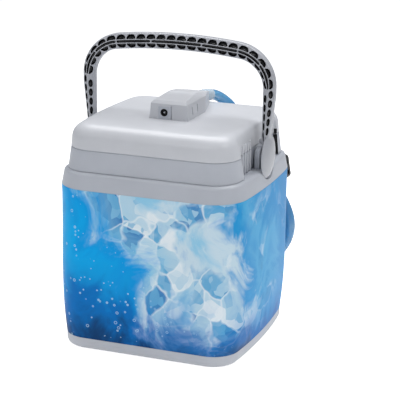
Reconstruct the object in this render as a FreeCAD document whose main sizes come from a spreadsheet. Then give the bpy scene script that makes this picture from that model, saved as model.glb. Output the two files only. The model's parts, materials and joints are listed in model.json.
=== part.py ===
import FreeCAD, Part
import Sketcher
import math
import os
import re

# Motorised hot and cold therapy cooler: an insulated reservoir with a lift-off lid
# that carries the pump, its housing and the hose, and a bail handle that swings on
# two pins. Millimetres, +Z up, front towards -Y, origin on the floor under the middle.

doc = FreeCAD.newDocument("therapy_cooler")
sheet = doc.addObject("Spreadsheet::Sheet", "Sizes")

DRIVING_SIZES = [
    # The plan: straight front and back, bowed sides, round corners. It is largest at the rim.
    ("side_bow", 7.2), ("rim_half_width", 113.3), ("rim_half_depth", 108.9), ("rim_corner", 40.0),
    # How far inside the rim each other level lies at the side and at the front, and by how
    # much its corner is rounder or sharper.
    ("base_in_x", 4.9), ("base_in_y", 5.0), ("base_in_corner", 9.0),
    ("low_in_x", 1.7), ("low_in_y", 2.0), ("low_in_corner", 6.0),
    ("belly_in_x", 0.3), ("belly_in_y", 0.7), ("belly_in_corner", 3.0),
    ("shoulder_in_x", 3.3), ("shoulder_in_y", 3.3), ("shoulder_in_corner", 3.3),
    ("ledge_in_x", 6.9), ("ledge_in_y", 7.0), ("ledge_in_corner", 8.6),
    ("band_in_x", 7.7), ("band_in_y", 7.8), ("band_in_corner", 9.4),
    ("seam_in_x", 10.6), ("seam_in_y", 10.7), ("seam_in_corner", 10.1), ("crown_in_x", 12.9),
    # Heights: some from the floor, and the rest as steps up from the level below.
    ("base_top", 15.2), ("low_height", 52.8), ("belly_height", 99.8), ("rim_height", 191.7),
    ("shoulder_rise", 17.1), ("ledge_rise", 2.0), ("band_rise", 24.6), ("dome_rise", 26.4),
    ("crown_rounding", 17.0),
    # Walls of the reservoir, from the outside in.
    ("film_wall", 0.4), ("shell_wall", 2.6), ("foam_wall", 21.0), ("liner_wall", 2.5),
    ("pan_wall", 3.0), ("pan_rounding", 7.0), ("pan_spigot", 12.0), ("floor_foam", 20.8),
    ("foot_proud", 1.0), ("foot_radius", 9.0), ("foot_sink", 1.5), ("foot_in_x", 32.4),
    ("foot_in_y", 31.9),
    # Collar, pivot ears and the lid's notches around them.
    ("collar_plate", 4.0), ("ear_in", 10.3), ("ear_wall", 6.0), ("ear_radius", 11.0),
    ("pivot_rise", 13.0), ("pin_radius", 6.0), ("pin_running_gap", 0.05), ("pin_head_radius", 8.5),
    ("pin_head_wall", 1.3), ("pin_head_gap", 0.2), ("disc_recess_gap", 1.0), ("disc_side_gap", 0.6),
    ("notch_gap", 2.0), ("notch_low_half", 60.0), ("notch_high_half", 68.0),
    ("seam_gap", 0.8), ("rib_proud", 1.4), ("rib_width", 2.2), ("rib_first", 21.0), ("rib_pitch", 9.0),
    ("rib_reach", 10.4),
    # Lid.
    ("lid_gap", 0.3), ("lid_wall", 3.0), ("plug_gap", 1.5), ("plug_wall", 2.5), ("plug_depth", 16.0),
    ("gasket_height", 3.0), ("gasket_width", 4.1), ("gasket_inset", 0.6), ("flange_wall", 2.5),
    ("foam_top_gap", 3.0), ("lid_screw_in_x", 24.0), ("lid_screw_in_y", 23.1), ("lid_screw_radius", 1.7),
    ("lid_screw_head", 3.0), ("lid_boss_radius", 6.2),
    # Housing on the lid.
    ("cover_half_width", 23.5), ("cover_front", 28.0), ("cover_rear", 66.0), ("cover_wall", 2.2),
    ("cover_low_rise", 17.6), ("cover_front_rise", 21.0), ("cover_top_rise", 24.5), ("cover_hump_fall", 4.0),
    ("cover_top_half", 15.5), ("cover_front_lean", 3.0), ("cover_hump_start", 20.0), ("cover_hump_end", 42.0),
    ("cover_side_lean", 1.8), ("cover_side_rise", 18.0), ("cover_rear_rise", 17.2), ("cover_rear_half", 12.5),
    ("cover_taper_start", 26.0), ("slit_depth", 0.4), ("slit_width", 1.3),
    ("slit_height", 9.5), ("slit_first", 15.5), ("slit_pitch", 16.5), ("slit_rise", 4.5),
    ("cover_screw_x", 17.6), ("cover_screw_front", 14.0), ("cover_screw_rear", 18.0), ("cover_boss", 3.4),
    ("cover_boss_height", 9.0),
    ("cover_screw_radius", 1.4), ("opening_half", 17.0), ("opening_front", 24.0), ("opening_rear", 50.0),
    ("panel_left", 12.5), ("panel_right", 2.6), ("panel_wall", 1.2), ("panel_rise", 14.5),
    ("groove_width", 1.0), ("jack_x", 5.5), ("jack_rise", 7.7), ("jack_nose", 4.3), ("jack_bore", 2.75),
    ("jack_bore_depth", 9.5), ("jack_pin_radius", 1.05), ("jack_body_width", 10.4), ("jack_body_height", 11.0),
    ("jack_body_length", 12.0), ("jack_drop", 5.6), ("board_wall", 1.6), ("board_half_width", 13.5),
    ("board_front", 22.0), ("board_rear", 12.0), ("board_gap", 0.3),
    # Pump that hangs from the lid.
    ("pump_y", 20.0), ("strainer_bottom", 31.8), ("strainer_height", 20.0), ("strainer_radius", 26.0),
    ("strainer_wall", 2.0), ("filter_height", 10.0), ("filter_gap", 0.5), ("pump_radius", 24.0),
    ("volute_wall", 3.0), ("volute_radius", 14.5), ("volute_height", 8.0), ("inlet_radius", 5.0),
    ("motor_radius", 16.5), ("motor_height", 18.0), ("bulkhead_wall", 2.5), ("shaft_radius", 1.5),
    ("shaft_gap", 0.05), ("impeller_radius", 12.5), ("impeller_height", 6.0), ("impeller_gap", 1.0),
    ("hub_radius", 4.0), ("vane_wall", 1.5), ("vane_count", 6), ("column_radius", 11.0), ("column_bore", 8.5),
    ("column_flange", 3.0), ("pump_screw_spread", 11.5), ("pump_screw_radius", 1.5),
    ("slot_width", 5.0), ("slot_margin", 4.0), ("slot_count", 12), ("riser_radius", 3.5), ("riser_bore", 2.3),
    ("riser_x", 34.5),
    ("cable_radius", 1.8), ("return_end", 176.8), ("port_height", 60.8), ("elbow_height", 8.0),
    # Hose, its sleeve at the lid and the coupling at its far end.
    ("hose_diameter", 13.0), ("sleeve_radius", 7.7), ("sleeve_tip_radius", 6.9), ("sleeve_length", 8.0),
    ("sleeve_turn", 14.0),
    ("sleeve_neck_radius", 7.2), ("sleeve_neck_length", 5.0), ("neck_spread", 3.6), ("hose_exit_rise", 7.9),
    ("coil_x", 9.0), ("coil_height", 107.8), ("coil_bend", 51.0), ("coil_step", 11.0), ("coil_straight", 42.0),
    ("coil_gap", 3.6), ("coil_layer", 13.5), ("strap_x", -20.0), ("strap_width", 25.0), ("strap_wall", 1.6),
    ("strap_slack", 0.6), ("strap_tail_y", 138.3), ("strap_tail_z", 163.8),
    ("coupling_length", 46.0), ("coupling_height", 29.0), ("coupling_depth", 18.0), ("coupling_rounding", 5.0),
    ("coupling_x", 68.5), ("coupling_y", 138.0), ("coupling_z", 172.3), ("coupling_tilt", 10.0),
    ("coupling_port", 3.2), ("coupling_port_depth", 12.0), ("coupling_port_pitch", 13.0),
    ("button_length", 14.0), ("button_height", 10.0), ("button_proud", 2.2), ("button_sink", 3.0),
    ("button_gap", 0.25), ("button_travel", 1.5),
    # Bail handle.
    ("foot_in", 5.5), ("foot_width", 7.8), ("foot_below", 9.0), ("foot_above", 11.0),
    ("knee_in", 5.9), ("knee_width", 9.0), ("knee_rise", 26.0),
    ("arm_in", 3.6), ("arm_width", 13.4), ("arm_length", 69.0), ("bend_radius", 41.0), ("bar_rise", 53.6),
    ("bar_arch_radius", 618.0), ("bar_width", 18.0), ("handle_half_depth", 8.0),
    ("handle_side_half", 4.6), ("ridge_half", 1.4), ("disc_radius", 25.0), ("disc_in", 4.0),
    ("disc_wall", 5.0), ("disc_rounding", 3.9), ("nub_radius", 3.0), ("nub_reach", 17.0),
    ("nub_in", 14.3),
]

# Sizes that follow from the driving ones.
FOLLOWING_SIZES = [(level + "_" + part, "rim_%s - %s_in_%s" % (part, level, way))
                   for level in ("base", "low", "belly", "shoulder", "ledge", "band", "seam")
                   for part, way in (("half_width", "x"), ("half_depth", "y"), ("corner", "corner"))]
FOLLOWING_SIZES += [
    ("crown_half_width", "rim_half_width - crown_in_x"),
    ("shoulder_height", "rim_height + shoulder_rise"), ("ledge_height", "shoulder_height + ledge_rise"),
    ("seam_height", "ledge_height + band_rise"), ("crown_height", "seam_height + dome_rise"),
    ("rib_top", "seam_height + rib_reach"), ("hose_exit_height", "crown_height + hose_exit_rise"),
    ("foot_spread_x", "base_half_width - foot_in_x"), ("foot_spread_y", "base_half_depth - foot_in_y"),
    ("ear_outer", "rim_half_width - ear_in"), ("ear_inner", "ear_outer - ear_wall"),
    ("notch_inner", "ear_inner - notch_gap"), ("pivot_height", "ledge_height + pivot_rise"),
    ("lid_screw_x", "rim_half_width - lid_screw_in_x"), ("lid_screw_y", "rim_half_depth - lid_screw_in_y"),
    ("coil_front", "rim_half_depth + coil_gap"),
    ("foot_x", "rim_half_width - foot_in"), ("knee_x", "rim_half_width - knee_in"),
    ("arm_x", "rim_half_width - arm_in"),
    ("arm_top", "pivot_height + arm_length"), ("bar_height", "arm_top + bar_rise"),
    ("disc_inner", "rim_half_width - disc_in"), ("disc_outer", "disc_inner + disc_wall"),
    ("nub_inner", "rim_half_width - nub_in"),
]

for row_number, (alias, content) in enumerate(DRIVING_SIZES + FOLLOWING_SIZES, start=1):
    sheet.set("A%d" % row_number, alias)
    sheet.set("B%d" % row_number, "=" + content if isinstance(content, str) else str(content))
    sheet.setAlias("B%d" % row_number, alias)
doc.recompute()

ALIASES = {alias for alias, content in DRIVING_SIZES + FOLLOWING_SIZES}
WORD = re.compile(r"[a-z_][a-z_0-9]*")


def size(alias):
    """The number in the sheet's cell with this alias."""
    return float(sheet.get(alias))


def bind(thing, prop, text):
    """Bind a property to a formula in which each word may be an alias of the sheet."""
    formula = WORD.sub(lambda m: "Sizes." + m.group(0) if m.group(0) in ALIASES else m.group(0), text)
    thing.setExpression(prop, formula)


def place(thing, x="0", y="0", z="0"):
    bind(thing, "Placement.Base.x", x)
    bind(thing, "Placement.Base.y", y)
    bind(thing, "Placement.Base.z", z)
    return thing


# ---------------------------------------------------------------- building blocks

def box(name, low, high):
    """A box between two corners, each a triple of formulas."""
    block = doc.addObject("Part::Box", name)
    for prop, a, b in zip(("Length", "Width", "Height"), low, high):
        bind(block, prop, "(%s) - (%s)" % (b, a))
    return place(block, *low)


def cylinder(name, radius, length, x="0", y="0", z="0", axis="z"):
    """A round bar that starts at x, y, z and runs along +axis."""
    bar = doc.addObject("Part::Cylinder", name)
    bind(bar, "Radius", radius)
    bind(bar, "Height", length)
    turn = {"x": ((0, 1, 0), 90), "y": ((1, 0, 0), -90), "z": ((0, 0, 1), 0)}[axis]
    bar.Placement = FreeCAD.Placement(FreeCAD.Vector(), FreeCAD.Rotation(FreeCAD.Vector(*turn[0]), turn[1]))
    return place(bar, x, y, z)


def ring(name, outer, inner, length, x="0", y="0", z="0", axis="z"):
    return cut(name, cylinder(name + "_outside", outer, length, x, y, z, axis),
               [cylinder(name + "_inside", inner, length, x, y, z, axis)])


def fuse(name, shapes):
    joined = doc.addObject("Part::MultiFuse", name)
    joined.Shapes = shapes
    return joined


def cut(name, base, tools):
    tool = tools[0] if len(tools) == 1 else fuse(name + "_tools", tools)
    rest = doc.addObject("Part::Cut", name)
    rest.Base = base
    rest.Tool = tool
    return rest


def common(name, shapes):
    meet = doc.addObject("Part::MultiCommon", name)
    meet.Shapes = shapes
    return meet


def extrusion(name, sketch, direction, length):
    run = doc.addObject("Part::Extrusion", name)
    run.Base = sketch
    run.DirMode = "Custom"
    run.Dir = FreeCAD.Vector(*direction)
    run.Solid = True
    bind(run, "LengthFwd", length)
    return run


def new_sketch(name, body=None, role="XY_Plane", height="0"):
    """A sketch on one of a body's origin planes, or free, lifted by a formula along its normal."""
    if body is None:
        sketch = doc.addObject("Sketcher::SketchObject", name)
        bind(sketch, "Placement.Base.z", height)
        return sketch
    sketch = body.newObject("Sketcher::SketchObject", name)
    plane = [part for part in body.Origin.OriginFeatures if part.Role == role][0]
    sketch.AttachmentSupport = [(plane, "")]
    sketch.MapMode = "FlatFace"
    bind(sketch, "AttachmentOffset.Base.z", height)
    return sketch


def arc(centre, radius, start, end):
    circle = Part.Circle(FreeCAD.Vector(centre[0], centre[1], 0), FreeCAD.Vector(0, 0, 1), radius)
    return Part.ArcOfCircle(circle, math.radians(start), math.radians(end))


START, END, CENTRE = 1, 2, 3
ORIGIN, X_AXIS, Y_AXIS = -1, -1, -2


def plan_sketch(name, level, height, inset="0", body=None):
    """The cooler's plan at a level: flat front and back, bowed sides, four equal round corners.

    inset moves the whole outline inwards, so walls that follow each other stay parallel.
    """
    sketch = new_sketch(name, body, "XY_Plane", height)
    # A starting outline near the real sizes. The constraints then give it its own.
    half_width, half_depth, bow, corner = 100.0, 95.0, 7.0, 30.0
    side = (half_depth ** 2 + bow ** 2) / (2 * bow)
    middle = half_width - side
    rise = half_depth - corner
    reach = middle + math.sqrt((side - corner) ** 2 - rise ** 2)
    swing = math.degrees(math.atan2(rise, reach - middle))
    vector = FreeCAD.Vector
    outline = [
        Part.LineSegment(vector(-reach, -half_depth, 0), vector(reach, -half_depth, 0)),
        arc((reach, -rise), corner, -90, -swing),
        arc((middle, 0), side, -swing, swing),
        arc((reach, rise), corner, swing, 90),
        Part.LineSegment(vector(reach, half_depth, 0), vector(-reach, half_depth, 0)),
        arc((-reach, rise), corner, 90, 180 - swing),
        arc((-middle, 0), side, 180 - swing, 180 + swing),
        arc((-reach, -rise), corner, 180 + swing, 270),
    ]
    sketch.addGeometry(outline, False)
    count = len(outline)
    front, corner_arc, side_arc, back, far_side = 0, 1, 2, 4, 6
    for index in range(count):
        sketch.addConstraint(Sketcher.Constraint("Tangent", index, END, (index + 1) % count, START))
    for line in (front, back):
        sketch.addConstraint(Sketcher.Constraint("Symmetric", line, START, line, END, Y_AXIS))
    for other in (3, 5, 7):
        sketch.addConstraint(Sketcher.Constraint("Equal", corner_arc, other))
    sketch.addConstraint(Sketcher.Constraint("Equal", side_arc, far_side))
    sketch.addConstraint(Sketcher.Constraint("PointOnObject", side_arc, CENTRE, X_AXIS))
    bow_radius = "({0}_half_depth ^ 2 + side_bow ^ 2) / (2 * side_bow)".format(level)
    named = [
        ("corner", ("Radius", corner_arc, corner), "{0}_corner - ({1})"),
        ("side", ("Radius", side_arc, side), bow_radius + " - ({1})"),
        ("front", ("DistanceY", front, START, ORIGIN, START, half_depth), "{0}_half_depth - ({1})"),
        ("back", ("DistanceY", ORIGIN, START, back, START, half_depth), "{0}_half_depth - ({1})"),
        ("middle", ("DistanceX", side_arc, CENTRE, ORIGIN, START, -middle), bow_radius + " - {0}_half_width"),
    ]
    for label, words, text in named:
        index = sketch.addConstraint(Sketcher.Constraint(*words))
        sketch.renameConstraint(index, label)
        bind(sketch, "Constraints." + label, text.format(level, inset))
    return sketch


def loft(name, sections, ruled):
    shape = doc.addObject("Part::Loft", name)
    shape.Sections = sections
    shape.Solid = True
    shape.Ruled = ruled
    return shape


def polygon_sketch(name, points, inset="0", height="0", body=None):
    """A closed outline of straight edges. Each corner is a pair of formulas that may name the inset."""
    sketch = new_sketch(name, body, "XY_Plane", height)
    count = len(points)
    turns = [2 * math.pi * index / count for index in range(count)]
    corners = [FreeCAD.Vector(40 * math.cos(turn), 40 * math.sin(turn), 0) for turn in turns]
    edges = [Part.LineSegment(corners[index], corners[(index + 1) % count]) for index in range(count)]
    sketch.addGeometry(edges, False)
    for index in range(count):
        sketch.addConstraint(Sketcher.Constraint("Coincident", index, END, (index + 1) % count, START))
    for index, corner in enumerate(points):
        for axis, text in zip("XY", corner):
            start = getattr(corners[index], axis.lower())
            words = ("Distance" + axis, ORIGIN, START, index, START, start)
            number = sketch.addConstraint(Sketcher.Constraint(*words))
            label = "%s%d" % (axis.lower(), index)
            sketch.renameConstraint(number, label)
            bind(sketch, "Constraints." + label, text.format(inset))
    return sketch


def new_body(name):
    return doc.addObject("PartDesign::Body", name)


def pad(body, name, sketch, length, reverse=False):
    feature = body.newObject("PartDesign::Pad", name)
    feature.Profile = sketch
    bind(feature, "Length", length)
    feature.Reversed = reverse
    return feature


def pocket(body, name, sketch, length, reverse=False):
    feature = body.newObject("PartDesign::Pocket", name)
    feature.Profile = sketch
    bind(feature, "Length", length)
    feature.Reversed = reverse
    return feature


def edges_at(shape, z):
    """Names of the edges of a shape that lie whole at one height."""
    return ["Edge%d" % (index + 1) for index, edge in enumerate(shape.Edges)
            if abs(edge.BoundBox.ZMin - z) < 0.01 and abs(edge.BoundBox.ZMax - z) < 0.01]


def fillet(body, name, base, edges, radius):
    feature = body.newObject("PartDesign::Fillet", name)
    feature.Base = (base, edges)
    bind(feature, "Radius", radius)
    return feature


def circle_sketch(name, body, circles, height="0"):
    """Circles on a body's XY plane, each a centre x, centre y and radius as formulas."""
    sketch = new_sketch(name, body, "XY_Plane", height)
    for index, (across, along, radius) in enumerate(circles):
        middle = FreeCAD.Vector(10.0 * index + 1, 5.0, 0)
        sketch.addGeometry(Part.Circle(middle, FreeCAD.Vector(0, 0, 1), 4.0), False)
        for label, words, text in (
                ("x%d" % index, ("DistanceX", ORIGIN, START, index, CENTRE, middle.x), across),
                ("y%d" % index, ("DistanceY", ORIGIN, START, index, CENTRE, middle.y), along),
                ("r%d" % index, ("Radius", index, 4.0), radius)):
            number = sketch.addConstraint(Sketcher.Constraint(*words))
            sketch.renameConstraint(number, label)
            bind(sketch, "Constraints." + label, text)
    return sketch


def tube_route(points):
    """A wire of straight runs joined by tangent arcs, and the radius of each arc."""
    spots = [FreeCAD.Vector(*point) for point in points]
    edges, radii = [], []
    last = spots[0]
    for before, here, after in zip(spots, spots[1:], spots[2:]):
        back = (before - here).normalize()
        ahead = (after - here).normalize()
        turn = math.pi - back.getAngle(ahead)
        run = min((before - here).Length, (after - here).Length)
        radius = ROUTE_SHARE * run / math.tan(turn / 2)
        first = here + back * (ROUTE_SHARE * run)
        final = here + ahead * (ROUTE_SHARE * run)
        inward = (back + ahead).normalize()
        centre = here + inward * (radius / math.cos(turn / 2))
        middle = centre - inward * radius
        edges.append(Part.LineSegment(last, first).toShape())
        edges.append(Part.Arc(first, middle, final).toShape())
        radii.append(radius)
        last = final
    edges.append(Part.LineSegment(last, spots[-1]).toShape())
    return Part.Wire(edges), radii


ROUTE_SHARE = 0.45


def tube(name, points, radius, bore=0.0):
    """A round tube, or a bar, along a route of hand-picked points."""
    wire, radii = tube_route(points)
    start = FreeCAD.Vector(*points[0])
    heading = FreeCAD.Vector(*points[1]) - start
    shapes = []
    for reach in (radius, bore):
        if reach > 0:
            profile = Part.Wire([Part.Circle(start, heading, reach).toShape()])
            shapes.append(wire.makePipeShell([profile], True, False))
    solid = shapes[0] if bore == 0 else shapes[0].cut(shapes[1])
    expected = math.pi * (radius ** 2 - bore ** 2) * wire.Length
    print("%s: length %.1f, radii %s, volume ratio %.4f" % (
        name, wire.Length, [round(value, 1) for value in radii], solid.Volume / expected))
    feature = doc.addObject("Part::Feature", name)
    feature.Shape = solid
    return feature


NODES = []


def node(name, thing):
    """Give a finished sub-part its name. The name is also the name of its file."""
    thing.Label = name
    NODES.append(thing)
    return thing


# ---------------------------------------------------------------- cooler body

SIDES = ("right", "left")


def span(side, near, far):
    """Low and high x of what lies between two distances from the middle, on one side."""
    return (near, far) if side == "right" else ("-(%s)" % far, "-(%s)" % near)


def side_bar(name, side, radius, near, far, y="0", z="pivot_height"):
    """A round bar along X between two distances from the middle."""
    low, high = span(side, near, far)
    return cylinder(name, radius, "(%s) - (%s)" % (high, low), low, y, z, "x")


BODY_LEVELS = (("base", "base_top"), ("low", "low_height"), ("belly", "belly_height"), ("rim", "rim_height"))
SHELL_INSET = "film_wall"
FOAM_INSET = "film_wall + shell_wall"
LINER_INSET = FOAM_INSET + " + foam_wall"
MOUTH_INSET = LINER_INSET + " + liner_wall"
PAN_FLOOR = "foot_proud + pan_wall"
LINER_FLOOR = PAN_FLOOR + " + floor_foam"
CHANNEL_TOP = "ledge_height - collar_plate"


def body_form(name, inset, ruled):
    sections = [plan_sketch("%s_%s" % (name, level), level, height, inset) for level, height in BODY_LEVELS]
    return loft(name, sections, ruled)


def slab(name, low, high):
    """A wide flat block between two heights, to trim a form with."""
    return box(name, ("-200", "-200", low), ("200", "200", high))


def plan_block(name, level, low, high, inset="0"):
    """A straight block of the plan at one level, between two heights."""
    sketch = plan_sketch(name + "_plan", level, low, inset)
    return extrusion(name, sketch, (0, 0, 1), "(%s) - (%s)" % (high, low))


def make_printed_wrap():
    return cut("wrap", body_form("wrap_outside", "0", False), [body_form("wrap_inside", SHELL_INSET, False)])


def make_outer_shell():
    outside = body_form("shell_outside", SHELL_INSET, False)
    return cut("shell", outside, [body_form("shell_inside", FOAM_INSET, True)])


def make_insulation_foam():
    side = cut("foam_side", body_form("foam_outside", FOAM_INSET, True),
               [common("foam_hollow", [body_form("foam_inside", LINER_INSET, True),
                                       slab("foam_hollow_slab", LINER_FLOOR, "rim_height + 1")])])
    spigot_inset = FOAM_INSET + " + pan_wall"
    clear = cut("foam_spigot_room", plan_block("foam_spigot_outside", "low", "0", "base_top + pan_spigot", "0"),
                [plan_block("foam_spigot_inside", "base", "0", "base_top + pan_spigot", spigot_inset)])
    trimmed = cut("foam_trimmed", side, [clear])
    floor = plan_block("foam_floor", "base", PAN_FLOOR, "base_top", spigot_inset)
    return fuse("foam", [trimmed, floor])


def make_inner_liner():
    outside = fuse("liner_outside", [
        common("liner_body", [body_form("liner_form", LINER_INSET, True),
                              slab("liner_slab", LINER_FLOOR, "rim_height")]),
        plan_block("liner_neck", "rim", "rim_height", CHANNEL_TOP, LINER_INSET)])
    inside = fuse("liner_inside", [
        common("cavity_body", [body_form("cavity_form", MOUTH_INSET, True),
                               slab("cavity_slab", LINER_FLOOR + " + liner_wall", "rim_height")]),
        plan_block("cavity_neck", "rim", "rim_height", CHANNEL_TOP, MOUTH_INSET)])
    return cut("liner", outside, [inside])


def make_base_pan():
    body = new_body("base_pan_body")
    outline = plan_sketch("pan_outline", "base", "foot_proud", "0", body)
    block = pad(body, "pan_block", outline, "base_top - foot_proud")
    doc.recompute()
    rounding = fillet(body, "pan_round", block, edges_at(block.Shape, size("foot_proud")), "pan_rounding")
    spigot = plan_sketch("pan_spigot_outline", "base", "base_top", FOAM_INSET, body)
    pad(body, "pan_spigot_block", spigot, "pan_spigot")
    hollow_inset = FOAM_INSET + " + pan_wall"
    hollow = plan_sketch("pan_hollow_outline", "base", "base_top + pan_spigot", hollow_inset, body)
    pocket(body, "pan_hollow", hollow, "base_top + pan_spigot - (%s)" % PAN_FLOOR)
    seats = circle_sketch("pan_foot_seats", body, foot_spots("foot_radius"), "foot_proud")
    pocket(body, "pan_seats", seats, "foot_sink", reverse=True)
    return body


def foot_spots(radius):
    return [(sx + "foot_spread_x", sy + "foot_spread_y", radius) for sx in ("", "-") for sy in ("", "-")]


def make_base_feet():
    feet = [cylinder("foot_%d" % index, radius, "foot_proud + foot_sink", across, along, "0")
            for index, (across, along, radius) in enumerate(foot_spots("foot_radius"))]
    return fuse("feet", feet)


def make_rim_collar():
    lower = loft("collar_lower", [plan_sketch("collar_rim", "rim", "rim_height"),
                                  plan_sketch("collar_shoulder", "shoulder", "shoulder_height")], True)
    upper = loft("collar_upper", [plan_sketch("collar_shoulder_again", "shoulder", "shoulder_height"),
                                  plan_sketch("collar_ledge", "ledge", "ledge_height")], True)
    inside = loft("collar_inside", [
        plan_sketch("collar_inside_rim", "rim", "rim_height", FOAM_INSET),
        plan_sketch("collar_inside_shoulder", "shoulder", "shoulder_height", FOAM_INSET)], True)
    channel = common("collar_channel", [inside, slab("collar_channel_slab", "rim_height - 1", CHANNEL_TOP)])
    mouth = plan_block("collar_mouth", "rim", "rim_height", "ledge_height + 1", MOUTH_INSET)
    shapes = [lower, upper]
    tools = [channel, mouth]
    for side in SIDES:
        low_x, high_x = span(side, "ear_inner", "ear_outer")
        shapes.append(box("ear_%s" % side, (low_x, "-ear_radius", CHANNEL_TOP),
                          (high_x, "ear_radius", "pivot_height")))
        shapes.append(side_bar("ear_%s_top" % side, side, "ear_radius", "ear_inner", "ear_outer"))
        tools.append(side_bar("ear_%s_bore" % side, side, "pin_radius + pin_running_gap",
                              "ear_inner - 1", "ear_outer + 1"))
        tools.append(side_bar("recess_%s" % side, side, "disc_radius + disc_recess_gap",
                              "disc_inner - disc_side_gap", "disc_outer + 10"))
    solid = fuse("collar_solid", shapes)
    return cut("collar", solid, tools)


# ---------------------------------------------------------------- lid

LID_BASE = "ledge_height + lid_gap"
PLUG_BOTTOM = LID_BASE + " - plug_depth"
PLUG_INSET = MOUTH_INSET + " + plug_gap"
FLANGE_BOTTOM = LID_BASE + " + gasket_height"
FLANGE_TOP = FLANGE_BOTTOM + " + flange_wall"


def notch(name, inset="0"):
    """Wedges that open both sides of the lid around the pivot ears, wider by a wall."""
    wedges = []
    for side in SIDES:
        wedge = doc.addObject("Part::Wedge", "%s_%s" % (name, side))
        low, high = span(side, "notch_inner - (%s)" % inset, "rim_half_width + 10")
        for prop, text in (
                ("Ymin", "0"), ("Ymax", "crown_height - ledge_height + 6"),
                ("Xmin", low), ("X2min", low), ("Xmax", high), ("X2max", high),
                ("Zmin", "-(notch_low_half + %s)" % inset), ("Zmax", "notch_low_half + %s" % inset),
                ("Z2min", "-(notch_high_half + %s)" % inset), ("Z2max", "notch_high_half + %s" % inset)):
            bind(wedge, prop, text)
        upright = FreeCAD.Rotation(FreeCAD.Vector(1, 0, 0), 90)
        wedge.Placement = FreeCAD.Placement(FreeCAD.Vector(), upright)
        wedges.append(place(wedge, "0", "0", "ledge_height - 1"))
    return wedges


def ribs(name, low, high):
    """Upright ribs on the inner wall of each notch, fore and aft of the pivot ear."""
    blocks = []
    for side in SIDES:
        near, far = span(side, "notch_inner - 1", "notch_inner + rib_proud")
        for end, sign in (("front", "-"), ("rear", "")):
            for index in range(RIBS_EACH_WAY):
                middle = "%s(rib_first + %d * rib_pitch)" % (sign, index)
                blocks.append(box("%s_%s_%s_%d" % (name, side, end, index),
                                  (near, middle + " - rib_width / 2", low),
                                  (far, middle + " + rib_width / 2", high)))
    return blocks


RIBS_EACH_WAY = 4
CORNERS = [(sx, sy) for sx in ("", "-") for sy in ("", "-")]


def band_form(name, inset="0"):
    return loft(name, [plan_sketch(name + "_band", "band", LID_BASE, inset),
                       plan_sketch(name + "_seam", "seam", "seam_height", inset)], True)


def make_lid_skirt():
    outside = cut("skirt_outside", band_form("skirt_form"), notch("skirt_notch"))
    room = band_form("skirt_room", "lid_wall")
    inside = cut("skirt_inside", room, notch("skirt_wall_notch", "lid_wall"))
    wall = cut("skirt_wall", outside, [inside])
    bosses = [cylinder("skirt_boss_%d" % index, "lid_boss_radius", "seam_height - (%s)" % FLANGE_TOP,
                       sx + "lid_screw_x", sy + "lid_screw_y", FLANGE_TOP)
              for index, (sx, sy) in enumerate(CORNERS)]
    bores = [cylinder("skirt_bore_%d" % index, "lid_screw_radius", "seam_height - 4 - (%s)" % FLANGE_TOP,
                      sx + "lid_screw_x", sy + "lid_screw_y", FLANGE_TOP)
             for index, (sx, sy) in enumerate(CORNERS)]
    groove_low = "seam_height - seam_gap"
    groove = cut("seam_groove", plan_block("groove_outside", "seam", groove_low, "seam_height", "-2"),
                 [plan_block("groove_inside", "seam", groove_low, "seam_height", "seam_gap")])
    whole = fuse("skirt_solid", [wall] + bosses + ribs("skirt_rib", LID_BASE, "seam_height - seam_gap"))
    return cut("skirt", whole, bores + [groove])


def dome_form(name, inset="0"):
    """A pillow: walls that lean in a little, then a large round edge up to the flat top."""
    body = new_body(name)
    outline = plan_sketch(name + "_seam", "seam", "seam_height", inset, body)
    walls = pad(body, name + "_walls", outline, "crown_height - seam_height - (%s)" % inset)
    bind(walls, "TaperAngle", "-atan((seam_half_width - crown_half_width) / (crown_height - seam_height))")
    doc.recompute()
    top_edges = edges_at(walls.Shape, walls.Shape.BoundBox.ZMax)
    fillet(body, name + "_round", walls, top_edges, "crown_rounding - (%s)" % inset)
    return body


def make_lid_dome():
    outside = cut("dome_outside", dome_form("dome_form"), notch("dome_notch"))
    inside = cut("dome_inside", dome_form("dome_room", "lid_wall"), notch("dome_wall_notch", "lid_wall"))
    opening = box("dome_opening", ("-opening_half", "opening_front", "crown_height - 2 * lid_wall"),
                  ("opening_half", "opening_rear", "crown_height + 1"))
    cable_hole = cylinder("dome_cable_hole", "cable_radius + 1", "3 * lid_wall", "0", "pump_y - 1",
                          "crown_height - 2 * lid_wall")
    low = "crown_height - 2 * lid_wall"
    screw_holes = [cylinder("dome_screw_%d" % index, "cover_screw_radius", "3 * lid_wall", across, along, low)
                   for index, (across, along) in enumerate(COVER_SCREWS)]
    shell = cut("dome_shell", outside, [inside])
    whole = fuse("dome_solid", [shell] + ribs("dome_rib", "seam_height", "rib_top"))
    return cut("dome", whole, [opening, cable_hole] + screw_holes)


COVER_SCREWS = [(sx + "cover_screw_x", along) for sx in ("", "-")
                for along in ("-cover_screw_front", "cover_screw_rear")]
# Where tubes and cables go down through the lid: x, y and radius of each way.
LID_WAYS = [("riser_x", "pump_y", "riser_radius"), ("-riser_x", "pump_y", "riser_radius"),
            ("0", "pump_y - 1", "cable_radius")]


def lid_ways(name, low, high, gap):
    return [cylinder("%s_%d" % (name, index), "%s + %s" % (radius, gap), "(%s) - (%s)" % (high, low),
                     across, along, low) for index, (across, along, radius) in enumerate(LID_WAYS)]


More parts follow.
